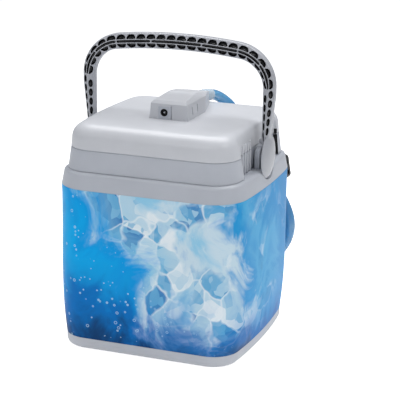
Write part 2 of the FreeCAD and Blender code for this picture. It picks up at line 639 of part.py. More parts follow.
def make_lid_underplate():
    plug = plan_block("plug_outside", "rim", PLUG_BOTTOM, FLANGE_TOP, PLUG_INSET)
    flange = cut("flange", plan_block("flange_plate", "band", FLANGE_BOTTOM, FLANGE_TOP, "lid_wall + 1"),
                 notch("flange_notch", "lid_wall + 0.2"))
    room = plan_block("plug_room", "rim", PLUG_BOTTOM + " + plug_wall", FLANGE_TOP + " + 1",
                      PLUG_INSET + " + plug_wall")
    screws = [cylinder("flange_screw_%d" % index, "lid_screw_radius", "flange_wall + 2",
                       sx + "lid_screw_x", sy + "lid_screw_y", FLANGE_BOTTOM + " - 1")
              for index, (sx, sy) in enumerate(CORNERS)]
    pump_holes = [cylinder("plate_pump_hole_%d" % index, "pump_screw_radius", "plug_wall + 2", across, along,
                           PLUG_BOTTOM + " - 1") for index, (across, along) in enumerate(pump_screw_spots())]
    ways = lid_ways("plate_way", PLUG_BOTTOM + " - 1", PLUG_BOTTOM + " + plug_wall + 1", "0.1")
    return cut("underplate", fuse("underplate_solid", [plug, flange]), [room] + screws + pump_holes + ways)


def make_lid_gasket():
    outer_inset = MOUTH_INSET + " - gasket_inset - gasket_width"
    inner_inset = MOUTH_INSET + " - gasket_inset"
    return cut("gasket", plan_block("gasket_outside", "rim", LID_BASE, FLANGE_BOTTOM, outer_inset),
               [plan_block("gasket_inside", "rim", LID_BASE, FLANGE_BOTTOM, inner_inset)])


def make_lid_foam():
    low = PLUG_BOTTOM + " + plug_wall"
    high = "seam_height - foam_top_gap"
    block = plan_block("lid_foam_block", "rim", low, high, PLUG_INSET + " + plug_wall + 0.3")
    heads = [cylinder("lid_foam_head_%d" % index, "pump_screw_radius + 1", "3", across, along, low)
             for index, (across, along) in enumerate(pump_screw_spots())]
    return cut("lid_foam_solid", block, lid_ways("lid_foam_way", low, high, "0.5") + heads)


def make_lid_screws():
    parts = []
    for index, (sx, sy) in enumerate(CORNERS):
        across, along = sx + "lid_screw_x", sy + "lid_screw_y"
        parts.append(cylinder("lid_screw_head_%d" % index, "lid_screw_head", "2.2", across, along,
                              FLANGE_BOTTOM + " - 2.2"))
        parts.append(cylinder("lid_screw_shank_%d" % index, "lid_screw_radius", "flange_wall + 9",
                              across, along, FLANGE_BOTTOM))
    return fuse("lid_screw_set", parts)


# ---------------------------------------------------------------- housing on the lid

def cover_form(name, inset="0"):
    """The housing's outer shape: what a side, a front and a plan outline have in common."""
    side = polygon_sketch(name + "_side", [
        ("-(cover_front - ({0}))", "crown_height"),
        ("-(cover_front - ({0}))", "crown_height + cover_low_rise"),
        ("-(cover_front - cover_front_lean - ({0}))", "crown_height + cover_front_rise - ({0})"),
        ("cover_hump_start", "crown_height + cover_top_rise - ({0})"),
        ("cover_hump_end", "crown_height + cover_top_rise - cover_hump_fall - ({0})"),
        ("cover_rear - ({0})", "crown_height + cover_rear_rise - ({0})"),
        ("cover_rear - ({0})", "crown_height")], inset)
    side.Placement = FreeCAD.Placement(FreeCAD.Vector(), FreeCAD.Rotation(FreeCAD.Vector(1, 1, 1), 120))
    place(side, "-cover_half_width - 5", "0", "0")
    front = polygon_sketch(name + "_front", [
        ("-(cover_half_width - ({0}))", "crown_height"),
        ("cover_half_width - ({0})", "crown_height"),
        ("cover_half_width - cover_side_lean - ({0})", "crown_height + cover_side_rise"),
        ("cover_top_half - ({0})", "crown_height + cover_top_rise + 1"),
        ("-(cover_top_half - ({0}))", "crown_height + cover_top_rise + 1"),
        ("-(cover_half_width - cover_side_lean - ({0}))", "crown_height + cover_side_rise")], inset)
    front.Placement = FreeCAD.Placement(FreeCAD.Vector(), FreeCAD.Rotation(FreeCAD.Vector(1, 0, 0), 90))
    place(front, "0", "cover_rear + 5", "0")
    plan = polygon_sketch(name + "_plan", [
        ("-(cover_half_width - ({0}))", "-cover_front - 5"),
        ("cover_half_width - ({0})", "-cover_front - 5"),
        ("cover_half_width - ({0})", "cover_taper_start"),
        ("cover_rear_half - ({0})", "cover_rear + 5"),
        ("-(cover_rear_half - ({0}))", "cover_rear + 5"),
        ("-(cover_half_width - ({0}))", "cover_taper_start")], inset, "crown_height")
    return common(name, [
        extrusion(name + "_side_run", side, (1, 0, 0), "2 * cover_half_width + 10"),
        extrusion(name + "_front_run", front, (0, -1, 0), "cover_front + cover_rear + 10"),
        extrusion(name + "_plan_run", plan, (0, 0, 1), "cover_top_rise + 5")])


def make_pump_cover():
    shell = cut("cover_shell", cover_form("cover_outside"), [cover_form("cover_room", "cover_wall")])
    bosses = [cylinder("cover_boss_%d" % index, "cover_boss", "cover_boss_height",
                       across, along, "crown_height") for index, (across, along) in enumerate(COVER_SCREWS)]
    inner_bosses = common("cover_bosses", [fuse("cover_boss_set", bosses), cover_form("cover_boss_room")])
    screw_bores = [cylinder("cover_bore_%d" % index, "cover_screw_radius", "cover_boss_height - 1",
                            across, along, "crown_height")
                   for index, (across, along) in enumerate(COVER_SCREWS)]
    hose_hole = cylinder("cover_hose_hole", "sleeve_neck_radius", "3 * cover_wall", "0",
                         "cover_rear - 2 * cover_wall", "hose_exit_height", "y")
    jack_hole = cylinder("cover_jack_hole", "jack_nose", "3 * cover_wall", "-jack_x", "-cover_front - 1",
                         "crown_height + jack_rise", "y")
    panel_seat = box("cover_panel_seat", ("-panel_left", "-cover_front - 1", "crown_height"),
                     ("panel_right", "-cover_front + panel_wall", "crown_height + panel_rise"))
    seam = box("cover_seam", ("panel_right", "-cover_front - 1", "crown_height"),
               ("panel_right + groove_width", "-cover_front + panel_wall", "crown_height + panel_rise + 1"))
    slits = []
    for side in SIDES:
        near, far = span(side, "cover_half_width - cover_side_lean - slit_depth", "cover_half_width + 1")
        for index in range(SLITS):
            along = "slit_first + %d * slit_pitch - cover_front" % index
            slits.append(box("cover_slit_%s_%d" % (side, index),
                             (near, along, "crown_height + slit_rise"),
                             (far, along + " + slit_width", "crown_height + slit_rise + slit_height")))
    return cut("cover", fuse("cover_solid", [shell, inner_bosses]),
               screw_bores + [hose_hole, jack_hole, panel_seat, seam] + slits)


SLITS = 2


def make_jack_panel():
    plate = box("panel_plate", ("-panel_left", "-cover_front - 0.3", "crown_height"),
                ("panel_right", "-cover_front + panel_wall", "crown_height + panel_rise"))
    hole = cylinder("panel_hole", "jack_nose", "4", "-jack_x", "-cover_front - 2", JACK_MIDDLE, "y")
    return cut("panel", plate, [hole])


def make_dc_jack():
    front = "-cover_front + cover_wall"
    body = box("jack_body", ("-jack_x - jack_body_width / 2", front, JACK_LOW),
               ("-jack_x + jack_body_width / 2", front + " + jack_body_length", JACK_HIGH))
    mouth = "-cover_front - 0.6"
    nose = cylinder("jack_nose", "jack_nose", "cover_wall + 0.6", "-jack_x", mouth, JACK_MIDDLE, "y")
    bore = cylinder("jack_bore", "jack_bore", "jack_bore_depth", "-jack_x", mouth, JACK_MIDDLE, "y")
    return cut("jack", fuse("jack_solid", [body, nose]), [bore])


JACK_MIDDLE = "crown_height + jack_rise"
JACK_LOW = JACK_MIDDLE + " - jack_drop"
JACK_HIGH = JACK_MIDDLE + " + jack_body_height - jack_drop"


def make_jack_pin():
    return cylinder("jack_pin_bar", "jack_pin_radius", "jack_bore_depth - 1", "-jack_x", "-cover_front + 0.4",
                    JACK_MIDDLE, "y")


def make_circuit_board():
    low = "crown_height + board_gap"
    plate = box("board_plate", ("-board_half_width", "-board_front", low),
                ("board_half_width", "board_rear", low + " + board_wall"))
    chip = box("board_chip", ("1", "-6", low + " + board_wall"), ("9", "4", low + " + board_wall + 1.8"))
    can = cylinder("board_can", "3", "8", "9", "-14", low + " + board_wall")
    return fuse("board", [plate, chip, can])


def make_cover_screws():
    parts = []
    for index, (across, along) in enumerate(COVER_SCREWS):
        parts.append(cylinder("cover_screw_head_%d" % index, "2 * cover_screw_radius", "2", across, along,
                              "crown_height - lid_wall - 2"))
        parts.append(cylinder("cover_screw_shank_%d" % index, "cover_screw_radius",
                              "lid_wall + cover_boss_height - 3", across, along, "crown_height - lid_wall"))
    return fuse("cover_screw_set", parts)


# ---------------------------------------------------------------- pump that hangs from the lid

STRAINER_TOP = "strainer_bottom + strainer_height"
VOLUTE_FLOOR = STRAINER_TOP + " + volute_wall"
BULKHEAD = VOLUTE_FLOOR + " + volute_height"
MOTOR_BOTTOM = BULKHEAD + " + bulkhead_wall"
PUMP_TOP = MOTOR_BOTTOM + " + motor_height + 0.5"


def on_pump_axis(body):
    bind(body, "Placement.Base.y", "pump_y")
    return body


def polar_pattern(body, name, feature, count):
    pattern = body.newObject("PartDesign::PolarPattern", name)
    pattern.Originals = [feature]
    upright = [part for part in body.Origin.OriginFeatures if part.Role == "Z_Axis"][0]
    pattern.Axis = (upright, [""])
    pattern.Angle = 360
    bind(pattern, "Occurrences", count)
    body.Tip = pattern
    return pattern


def make_strainer_cage():
    body = on_pump_axis(new_body("strainer_body"))
    disc = circle_sketch("strainer_disc", body, [("0", "0", "strainer_radius")], "strainer_bottom")
    pad(body, "strainer_block", disc, "strainer_height")
    inner = "strainer_radius - strainer_wall"
    hollow = circle_sketch("strainer_hollow", body, [("0", "0", inner)], STRAINER_TOP)
    pocket(body, "strainer_room", hollow, "strainer_height - strainer_wall")
    slot = polygon_sketch("strainer_slot", [
        ("strainer_radius - 2 * strainer_wall", "-slot_width / 2"), ("strainer_radius + 2", "-slot_width / 2"),
        ("strainer_radius + 2", "slot_width / 2"), ("strainer_radius - 2 * strainer_wall", "slot_width / 2")],
        "0", "strainer_bottom + slot_margin", body)
    opening = pocket(body, "strainer_opening", slot, "strainer_height - 2 * slot_margin", reverse=True)
    polar_pattern(body, "strainer_slots", opening, "slot_count")
    return body


def make_filter_foam():
    return cylinder("filter_pad", "strainer_radius - strainer_wall - filter_gap", "filter_height",
                    "0", "pump_y", "strainer_bottom + strainer_wall + 0.3")


def make_volute_cover():
    return ring("volute_plate", "pump_radius", "inlet_radius", "volute_wall", "0", "pump_y", STRAINER_TOP)


ELBOW_LOW = "port_height - riser_radius - 2"
ELBOW_REACH = "elbow_height + riser_radius + 2"


def make_pump_body():
    height = "(%s) - (%s)" % (PUMP_TOP, VOLUTE_FLOOR)
    can = cylinder("pump_can", "pump_radius", height, "0", "pump_y", VOLUTE_FLOOR)
    port = cylinder("pump_port", "riser_radius + 2", "riser_x", "0", "pump_y", "port_height", "x")
    elbow = cylinder("pump_elbow", "riser_radius + 2", ELBOW_REACH, "riser_x", "pump_y", ELBOW_LOW)
    chamber = cylinder("pump_chamber", "volute_radius", "volute_height", "0", "pump_y", VOLUTE_FLOOR)
    shaft_hole = cylinder("pump_shaft_hole", "shaft_radius + 2 * shaft_gap", "bulkhead_wall + 2", "0", "pump_y",
                          BULKHEAD + " - 1")
    motor_room = cylinder("pump_motor_room", "motor_radius + 0.1", "motor_height + 2",
                          "0", "pump_y", MOTOR_BOTTOM)
    outlet = cylinder("pump_outlet", "riser_bore", "riser_x", "0", "pump_y", "port_height", "x")
    rise = cylinder("pump_rise", "riser_bore", "elbow_height + 1", "riser_x", "pump_y", "port_height")
    return cut("pump_shell", fuse("pump_solid", [can, port, elbow]),
               [chamber, shaft_hole, motor_room, outlet, rise])


def make_motor():
    return ring("motor_can", "motor_radius", "shaft_radius + shaft_gap", "motor_height",
                "0", "pump_y", MOTOR_BOTTOM)


def make_motor_shaft():
    low = VOLUTE_FLOOR + " + impeller_gap"
    high = MOTOR_BOTTOM + " + motor_height - 2"
    return cylinder("shaft_bar", "shaft_radius", "(%s) - (%s)" % (high, low), "0", "pump_y", low)


def make_impeller():
    low = VOLUTE_FLOOR + " + impeller_gap"
    body = on_pump_axis(new_body("impeller_wheel"))
    hub = circle_sketch("impeller_hub", body, [("0", "0", "hub_radius")], low)
    pad(body, "impeller_hub_block", hub, "impeller_height")
    shroud = circle_sketch("impeller_shroud", body, [("0", "0", "impeller_radius")],
                           low + " + impeller_height - vane_wall")
    pad(body, "impeller_shroud_disc", shroud, "vane_wall")
    bore = circle_sketch("impeller_bore", body, [("0", "0", "shaft_radius")], low + " + impeller_height")
    pocket(body, "impeller_bore_cut", bore, "impeller_height")
    vane = polygon_sketch("impeller_vane", [
        ("hub_radius - 1", "-vane_wall / 2"), ("impeller_radius", "-vane_wall / 2"),
        ("impeller_radius", "vane_wall / 2"), ("hub_radius - 1", "vane_wall / 2")], "0", low, body)
    blade = pad(body, "impeller_vane_block", vane, "impeller_height")
    polar_pattern(body, "impeller_vanes", blade, "vane_count")
    return body


def pump_screw_spots():
    spots = []
    for sx in ("", "-"):
        for sy in ("+", "-"):
            spots.append((sx + "pump_screw_spread", "pump_y %s pump_screw_spread" % sy))
    return spots


def make_pump_column():
    height = "(%s) - (%s)" % (PLUG_BOTTOM, PUMP_TOP)
    pipe = cylinder("column_pipe", "column_radius", height, "0", "pump_y", PUMP_TOP)
    foot = cylinder("column_foot", "pump_radius", "column_flange", "0", "pump_y", PUMP_TOP)
    head = cylinder("column_head", "pump_screw_spread * sqrt(2) + 4", "column_flange", "0", "pump_y",
                    PLUG_BOTTOM + " - column_flange")
    bore = cylinder("column_hole", "column_bore", height + " + 2", "0", "pump_y", PUMP_TOP + " - 1")
    screws = [cylinder("column_screw_%d" % index, "pump_screw_radius", "column_flange + 2", across, along,
                       PLUG_BOTTOM + " - column_flange - 1")
              for index, (across, along) in enumerate(pump_screw_spots())]
    return cut("column", fuse("column_solid", [pipe, foot, head]), [bore] + screws)


def make_pump_screws():
    parts = []
    low = PLUG_BOTTOM + " - column_flange"
    for index, (across, along) in enumerate(pump_screw_spots()):
        parts.append(cylinder("pump_screw_head_%d" % index, "2 * pump_screw_radius - 0.4", "2", across, along,
                              low + " - 2"))
        parts.append(cylinder("pump_screw_shank_%d" % index, "pump_screw_radius",
                              "column_flange + plug_wall + 2", across, along, low))
    return fuse("pump_screw_set", parts)


def tube_top(sign):
    """The way of a water tube from above the lid foam into the hose sleeve."""
    top = size("crown_height")
    neck = sign * size("neck_spread")
    exit_height = size("hose_exit_height")
    end = size("cover_rear") - size("sleeve_neck_length")
    return [(sign * size("riser_x"), size("pump_y"), top - 26.0), (sign * 27.0, 22.5, top - 14.5),
            (sign * 14.0, 31.0, top - 6.5), (neck, end - 18.0, exit_height - 4.4),
            (neck, end - 8.0, exit_height), (neck, end, exit_height)]


def make_outlet_tube():
    start = (size("riser_x"), size("pump_y"), size("port_height") + size("elbow_height"))
    return tube("outlet_tube_run", [start] + tube_top(1), size("riser_radius"), size("riser_bore"))


def make_return_tube():
    start = (-size("riser_x"), size("pump_y"), size("return_end"))
    return tube("return_tube_run", [start] + tube_top(-1), size("riser_radius"), size("riser_bore"))


def make_motor_cable():
    board_top = size("crown_height") + size("board_gap") + size("board_wall")
    way = size("pump_y") - 1.0
    motor_top = (size("strainer_bottom") + size("strainer_height") + size("volute_wall") + size("volute_height")
                 + size("bulkhead_wall") + size("motor_height"))
    return tube("motor_cable_run", [
        (0.0, 6.0, board_top), (0.0, 6.0, board_top + 6.0), (0.0, way, board_top + 6.0), (0.0, way, motor_top)],
        size("cable_radius"))


# ---------------------------------------------------------------- hose and coupling

def sleeve_end():
    """The middle of the sleeve's outer face, where the hose starts."""
    turn = math.radians(size("sleeve_turn"))
    reach = size("sleeve_length")
    return (reach * math.sin(turn), size("cover_rear") + reach * math.cos(turn), size("hose_exit_height"))


def make_hose_sleeve():
    neck = cylinder("sleeve_neck", "sleeve_neck_radius", "sleeve_neck_length", "0",
                    "cover_rear - sleeve_neck_length", "hose_exit_height", "y")
    root = doc.addObject("Part::Sphere", "sleeve_root")
    bind(root, "Radius", "sleeve_radius")
    place(root, "0", "cover_rear + 0.5", "hose_exit_height")
    outside = box("sleeve_outside", ("-20", "cover_rear", "crown_height + 0.1"),
                  ("20", "cover_rear + 30", "crown_height + 40"))
    taper = doc.addObject("Part::Cone", "sleeve_taper")
    bind(taper, "Radius1", "sleeve_radius")
    bind(taper, "Radius2", "sleeve_tip_radius")
    bind(taper, "Height", "sleeve_length")
    backwards = FreeCAD.Rotation(FreeCAD.Vector(1, 0, 0), -90)
    turned = FreeCAD.Rotation(FreeCAD.Vector(0, 0, 1), -size("sleeve_turn")).multiply(backwards)
    taper.Placement = FreeCAD.Placement(FreeCAD.Vector(), turned)
    place(taper, "0", "cover_rear", "hose_exit_height")
    shown = common("sleeve_shown", [fuse("sleeve_solid", [root, taper]), outside])
    bores = [cylinder("sleeve_bore_%s" % side, "riser_bore", "sleeve_neck_length + 4",
                      sign + "neck_spread", "cover_rear - sleeve_neck_length - 1", "hose_exit_height", "y")
             for side, sign in (("right", ""), ("left", "-"))]
    return cut("sleeve", fuse("sleeve_whole", [neck, shown]), bores)


def make_hose_run():
    return tube("hose_run_tube", [sleeve_end()] + HOSE_RUN_POINTS, size("hose_diameter") / 2)


# The hose drops over the rear edge of the lid and slants down behind the right side.
HOSE_RUN_POINTS = [
    (5.85, 89.35, 269.7), (12.2, 103.2, 264.7), (20.3, 113.7, 255.4), (28.9, 119.3, 243.1),
    (41.3, 120.2, 223.8), (54.2, 119.4, 202.8), (67.3, 119.9, 180.8), (80.6, 119.2, 158.4),
    (92.3, 119.5, 138.3),
]
# Its last stretch leaves the coil at the left and lies on top of the turns.
HOSE_TAIL_POINTS = [
    (-72.5, 134.0, 122.3), (-64.5, 137.4, 142.8), (-46.0, 138.6, 156.3), (-23.0, 138.3, 163.1),
    (0.0, 138.1, 163.4), (23.2, 138.0, 164.31), (45.85, 138.0, 168.31),
]
# Each layer's name, front face, middle of its outer turn and how many turns lie inside each other.
COIL_LAYERS = (("front", "coil_front", "coil_bend", "2"),
               ("rear", "coil_front + coil_layer", "coil_bend - coil_step", "1"))


def make_hose_coil():
    """The outer shape of the hose's turns: long loops with round ends, in two layers."""
    rings = []
    for layer, front, bend, turns in COIL_LAYERS:
        forms = []
        outer = bend + " + hose_diameter / 2"
        for name, reach in (("outside", outer), ("inside", outer + " - %s * hose_diameter" % turns)):
            name = "coil_%s_%s" % (layer, name)
            ends = [cylinder("%s_%s" % (name, side), reach, "coil_layer", "coil_x %s coil_straight" % sign,
                             front, "coil_height", "y") for side, sign in (("right", "+"), ("left", "-"))]
            middle = box(name + "_middle",
                         ("coil_x - coil_straight", front, "coil_height - (%s)" % reach),
                         ("coil_x + coil_straight", front + " + coil_layer", "coil_height + %s" % reach))
            forms.append(fuse(name, ends + [middle]))
        rings.append(cut("coil_" + layer, forms[0], [forms[1]]))
    return fuse("coil", rings)


def make_hose_tail():
    return tube("hose_tail_tube", HOSE_TAIL_POINTS, size("hose_diameter") / 2)


def make_hose_strap():
    """A band that ties the two turns and the hose's last stretch on top of them."""
    runs = []
    for name, room in (("outside", "(strap_slack + strap_wall)"), ("inside", "strap_slack")):
        front = "coil_front - " + room
        middle = "coil_front + coil_layer - " + room
        rear = "coil_front + 2 * coil_layer + " + room
        front_low = "coil_height + coil_bend - 1.5 * hose_diameter - " + room
        rear_low = "coil_height + coil_bend - coil_step - hose_diameter / 2 - " + room
        front_top = "coil_height + coil_bend + hose_diameter / 2 + " + room
        tail_rear = "strap_tail_y + hose_diameter / 2 + " + room
        tail_top = "strap_tail_z + hose_diameter / 2 + " + room
        outline = polygon_sketch("strap_" + name, [
            (front, front_low), (middle, front_low), (rear, rear_low), (tail_rear, "strap_tail_z"),
            (tail_rear, tail_top), ("strap_tail_y - hose_diameter / 2", tail_top), (front, front_top)])
        outline.Placement = FreeCAD.Placement(FreeCAD.Vector(), FreeCAD.Rotation(FreeCAD.Vector(1, 1, 1), 120))
        place(outline, "strap_x", "0", "0")
        runs.append(extrusion("strap_%s_run" % name, outline, (1, 0, 0), "strap_width"))
    return cut("strap", runs[0], [runs[1]])


def tilted(thing):
    """Put a piece made around the origin where the coupling is, with its outer end up."""
    thing.Placement = FreeCAD.Placement(FreeCAD.Vector(), FreeCAD.Rotation(FreeCAD.Vector(0, -1, 0), 1))
    bind(thing, "Placement.Rotation.Angle", "coupling_tilt")
    return place(thing, "coupling_x", "coupling_y", "coupling_z")


def make_coupling_body():
    body = new_body("coupling_block")
    outline = polygon_sketch("coupling_outline", [
        ("-coupling_length / 2", "-coupling_depth / 2"), ("coupling_length / 2", "-coupling_depth / 2"),
        ("coupling_length / 2", "coupling_depth / 2"), ("-coupling_length / 2", "coupling_depth / 2")],
        "0", "-coupling_height / 2", body)
    block = pad(body, "coupling_pad", outline, "coupling_height")
    doc.recompute()
    long_edges = ["Edge%d" % (index + 1) for index, edge in enumerate(block.Shape.Edges)
                  if edge.BoundBox.YLength > size("coupling_depth") - 0.1]
    fillet(body, "coupling_round", block, long_edges, "coupling_rounding")
    ports = [cylinder("coupling_bore_%d" % index, "coupling_port", "coupling_port_depth + 1",
                      "coupling_length / 2 - coupling_port_depth", "0", sign + "coupling_port_pitch / 2", "x")
             for index, sign in enumerate(("", "-"))]
    well = box("coupling_well", (
        "-button_length / 2 - button_gap", "coupling_depth / 2 - button_sink - button_travel - 0.3",
        "-button_height / 2 - button_gap"), (
        "button_length / 2 + button_gap", "coupling_depth / 2 + 1", "button_height / 2 + button_gap"))
    return tilted(cut("coupling", body, ports + [well]))


def make_coupling_button():
    block = box("button_block", (
        "-button_length / 2", "coupling_depth / 2 - button_sink", "-button_height / 2"), (
        "button_length / 2", "coupling_depth / 2 + button_proud", "button_height / 2"))
    return tilted(fuse("button", [block, box("button_ridge", (
        "-1", "coupling_depth / 2", "-button_height / 2"), (
        "1", "coupling_depth / 2 + button_proud + 0.6", "button_height / 2"))]))


# ---------------------------------------------------------------- bail handle

BEND_STEPS = 7
ARCH_STEPS = 4


def bail_stations():
    """Centre, outward direction and width of the bail's section from the right end to the left."""
    arm_x, arm_top, pivot = size("arm_x"), size("arm_top"), size("pivot_height")
    arm_width, bar_width = size("arm_width"), size("bar_width")
    bend, arch, bar = size("bend_radius"), size("bar_arch_radius"), size("bar_height")
    centre_x = arm_x - bend
    arch_z = bar - arch
    centre_z = arch_z + math.sqrt((arch - bend) ** 2 - centre_x ** 2)
    end_turn = math.atan2(centre_z - arch_z, centre_x)
    right = [((size("foot_x"), pivot - size("foot_below")), 0.0, size("foot_width")),
             ((size("foot_x"), pivot + size("foot_above")), 0.0, size("foot_width")),
             ((size("knee_x"), pivot + size("knee_rise")), 0.0, size("knee_width")),
             ((arm_x, arm_top), 0.0, arm_width)]
    for step in range(1, BEND_STEPS + 1):
        share = step / BEND_STEPS
        turn = share * end_turn
        spot = (centre_x + bend * math.cos(turn), centre_z + bend * math.sin(turn))
        right.append((spot, turn, arm_width + share * (bar_width - arm_width)))
    for step in range(ARCH_STEPS - 1, 0, -1):
        turn = math.pi / 2 - (math.pi / 2 - end_turn) * step / ARCH_STEPS
        right.append(((arch * math.cos(turn), arch_z + arch * math.sin(turn)), turn, bar_width))
    left = [((-x, z), math.pi - turn, width) for (x, z), turn, width in reversed(right)]
    return right + [((0.0, bar), math.pi / 2, bar_width)] + left


def make_bail():
    """The arched grip: an eight-sided section with a ridge front and rear, wider at the top."""
    depth, side, ridge = size("handle_half_depth"), size("handle_side_half"), size("ridge_half")
    wires = []
    for (x, z), turn, width in bail_stations():
        half = width / 2
        outline = [(-ridge, -depth), (ridge, -depth), (half, -side), (half, side),
                   (ridge, depth), (-ridge, depth), (-half, side), (-half, -side)]
        corners = [FreeCAD.Vector(x + out * math.cos(turn), y, z + out * math.sin(turn)) for out, y in outline]
        wires.append(Part.makePolygon(corners + corners[:1]))
    feature = doc.addObject("Part::Feature", "bail")
    feature.Shape = Part.makeLoft(wires, True, True)
    return feature


def make_disc(side):
    """The round cheek at an arm's foot: a thin rim under a large rounding."""
    disc = side_bar("disc_" + side, side, "disc_radius", "disc_inner", "disc_outer")
    outer_edge = 3 if side == "right" else 2
    rounded = doc.addObject("Part::Fillet", "disc_round_" + side)
    rounded.Base = disc
    rounded.Edges = [(outer_edge, size("disc_rounding"), size("disc_rounding"))]
    return rounded


def make_handle_frame():
    shapes = [make_bail()]
    bores = []
    for side in SIDES:
        shapes.append(make_disc(side))
        shapes.append(side_bar("nub_" + side, side, "nub_radius", "nub_inner", "knee_x", "0",
                               "pivot_height + nub_reach"))
        bores.append(side_bar("arm_bore_" + side, side, "pin_radius", "ear_outer - 1", PIN_END))
    return cut("handle", fuse("handle_solid", shapes), bores)


PIN_HEAD_FACE = "ear_inner - pin_head_gap"
PIN_END = "disc_outer - 3.5"


def make_pivot_pins():
    parts = []
    for side in SIDES:
        parts.append(side_bar("pin_head_" + side, side, "pin_head_radius",
                              PIN_HEAD_FACE + " - pin_head_wall", PIN_HEAD_FACE))
        parts.append(side_bar("pin_shank_" + side, side, "pin_radius", PIN_HEAD_FACE, PIN_END))
    return fuse("pins", parts)


node("printed_wrap", make_printed_wrap())
node("outer_shell", make_outer_shell())
node("insulation_foam", make_insulation_foam())
node("inner_liner", make_inner_liner())
node("base_pan", make_base_pan())
node("base_feet", make_base_feet())
node("rim_collar", make_rim_collar())
node("lid_dome", make_lid_dome())
node("lid_skirt", make_lid_skirt())
node("lid_underplate", make_lid_underplate())
node("lid_gasket", make_lid_gasket())
node("lid_foam", make_lid_foam())
node("lid_screws", make_lid_screws())
node("pump_cover", make_pump_cover())
node("jack_panel", make_jack_panel())
node("dc_jack", make_dc_jack())
node("jack_pin", make_jack_pin())
node("circuit_board", make_circuit_board())
node("cover_screws", make_cover_screws())
node("strainer_cage", make_strainer_cage())
node("filter_foam", make_filter_foam())
node("volute_cover", make_volute_cover())
node("pump_body", make_pump_body())
node("pump_motor", make_motor())
node("motor_shaft", make_motor_shaft())
node("impeller", make_impeller())
node("pump_column", make_pump_column())
node("pump_screws", make_pump_screws())
node("outlet_tube", make_outlet_tube())
node("return_tube", make_return_tube())
node("motor_cable", make_motor_cable())
node("hose_sleeve", make_hose_sleeve())
node("hose_run", make_hose_run())
node("hose_coil", make_hose_coil())
node("hose_tail", make_hose_tail())
node("hose_strap", make_hose_strap())
node("coupling_body", make_coupling_body())
node("coupling_button", make_coupling_button())
node("handle_frame", make_handle_frame())
node("pivot_pins", make_pivot_pins())

doc.recompute()


def check():
    bad = [thing.Name for thing in doc.Objects if "Invalid" in thing.State or "Error" in thing.State]
    if bad:
        raise RuntimeError("failed objects: " + ", ".join(bad))
    for thing in NODES:
        if thing.Shape.isNull() or not thing.Shape.isValid() or not thing.Shape.Solids:
            raise RuntimeError("no valid solid: " + thing.Label)


check()
os.makedirs("parts", exist_ok=True)
for thing in NODES:
    thing.Shape.exportStep("parts/%s.step" % thing.Label)
    print("%-18s %d solids %8.1f cm3" % (thing.Label, len(thing.Shape.Solids), thing.Shape.Volume / 1000))
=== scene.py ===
# %% [markdown]
# # A motorised cold-therapy cooler
# A small insulated box with a lift-off lid. A pump in the lid sends ice water through a blue
# hose to a pad on the body. The solids come from the CAD model. This lesson dresses them:
# it gives each solid its finish, and builds again the forms that need soft edges.

# %% Load the solids
import json
import math

import bmesh
import bpy
import numpy as np
from mathutils import Matrix, Vector

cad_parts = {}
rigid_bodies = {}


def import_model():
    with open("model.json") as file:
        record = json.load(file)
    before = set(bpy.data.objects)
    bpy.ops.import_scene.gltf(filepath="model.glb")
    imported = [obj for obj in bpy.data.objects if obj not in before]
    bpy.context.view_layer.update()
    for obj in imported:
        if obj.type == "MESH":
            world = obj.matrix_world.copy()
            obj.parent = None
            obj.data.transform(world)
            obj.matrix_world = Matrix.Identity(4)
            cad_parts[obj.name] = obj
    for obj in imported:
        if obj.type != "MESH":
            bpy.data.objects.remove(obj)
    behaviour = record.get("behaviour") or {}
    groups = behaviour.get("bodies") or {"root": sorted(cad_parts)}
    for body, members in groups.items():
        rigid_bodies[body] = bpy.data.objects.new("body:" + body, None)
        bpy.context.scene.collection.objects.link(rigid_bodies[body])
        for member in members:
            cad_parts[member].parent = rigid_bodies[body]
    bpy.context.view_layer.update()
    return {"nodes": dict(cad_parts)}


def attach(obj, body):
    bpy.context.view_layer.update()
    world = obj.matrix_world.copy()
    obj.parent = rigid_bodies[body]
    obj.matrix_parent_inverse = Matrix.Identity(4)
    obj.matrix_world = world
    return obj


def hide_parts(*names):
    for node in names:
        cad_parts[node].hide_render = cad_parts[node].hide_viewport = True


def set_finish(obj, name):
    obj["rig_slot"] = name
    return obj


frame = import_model()
scene = bpy.context.scene

# %% [markdown]
# ## Camera
# The camera looks down a little from the front and right. Its lens is long, so that the near
# side of the cooler doesn't swell. It could be placed by hand in the viewport. Two angles and
# a small roll say the same in three numbers, which are easy to change.

# %% Camera
AZIMUTH, ELEVATION, ROLL = 20.409, 16.058, math.radians(0.779)
CAMERA_PLACE = Vector((0.5927, -1.5162, 0.629))
LENS, SENSOR = 130.9, 36.0


def direction(azimuth, elevation):
    """The way from the cooler to an eye or a lamp: degrees right of the front, and degrees up."""
    turn, lift = math.radians(azimuth), math.radians(elevation)
    flat = math.cos(lift)
    return Vector((math.sin(turn) * flat, -math.cos(turn) * flat, math.sin(lift)))


back = direction(AZIMUTH, ELEVATION)
level = direction(AZIMUTH + 90, 0)
upright = back.cross(level)
across = math.cos(ROLL) * level + math.sin(ROLL) * upright
upward = -math.sin(ROLL) * level + math.cos(ROLL) * upright

camera = bpy.data.objects.new("camera", bpy.data.cameras.new("camera"))
scene.collection.objects.link(camera)
view = Matrix((across, upward, back)).transposed().to_4x4()
view.translation = CAMERA_PLACE
camera.matrix_world = view
camera.data.lens, camera.data.sensor_width = LENS, SENSOR
scene.camera = camera
print("camera at", [round(number, 3) for number in CAMERA_PLACE])

# %% [markdown]
# ## The hose's route
# The hose leaves the housing at the rear, drops behind the right side and is wound up behind
# the cooler. The route could be drawn freehand. Here the loose stretches are points chosen one
# by one, and the coil is worked out from its round ends and straight strands, so that all its
# turns lie side by side.

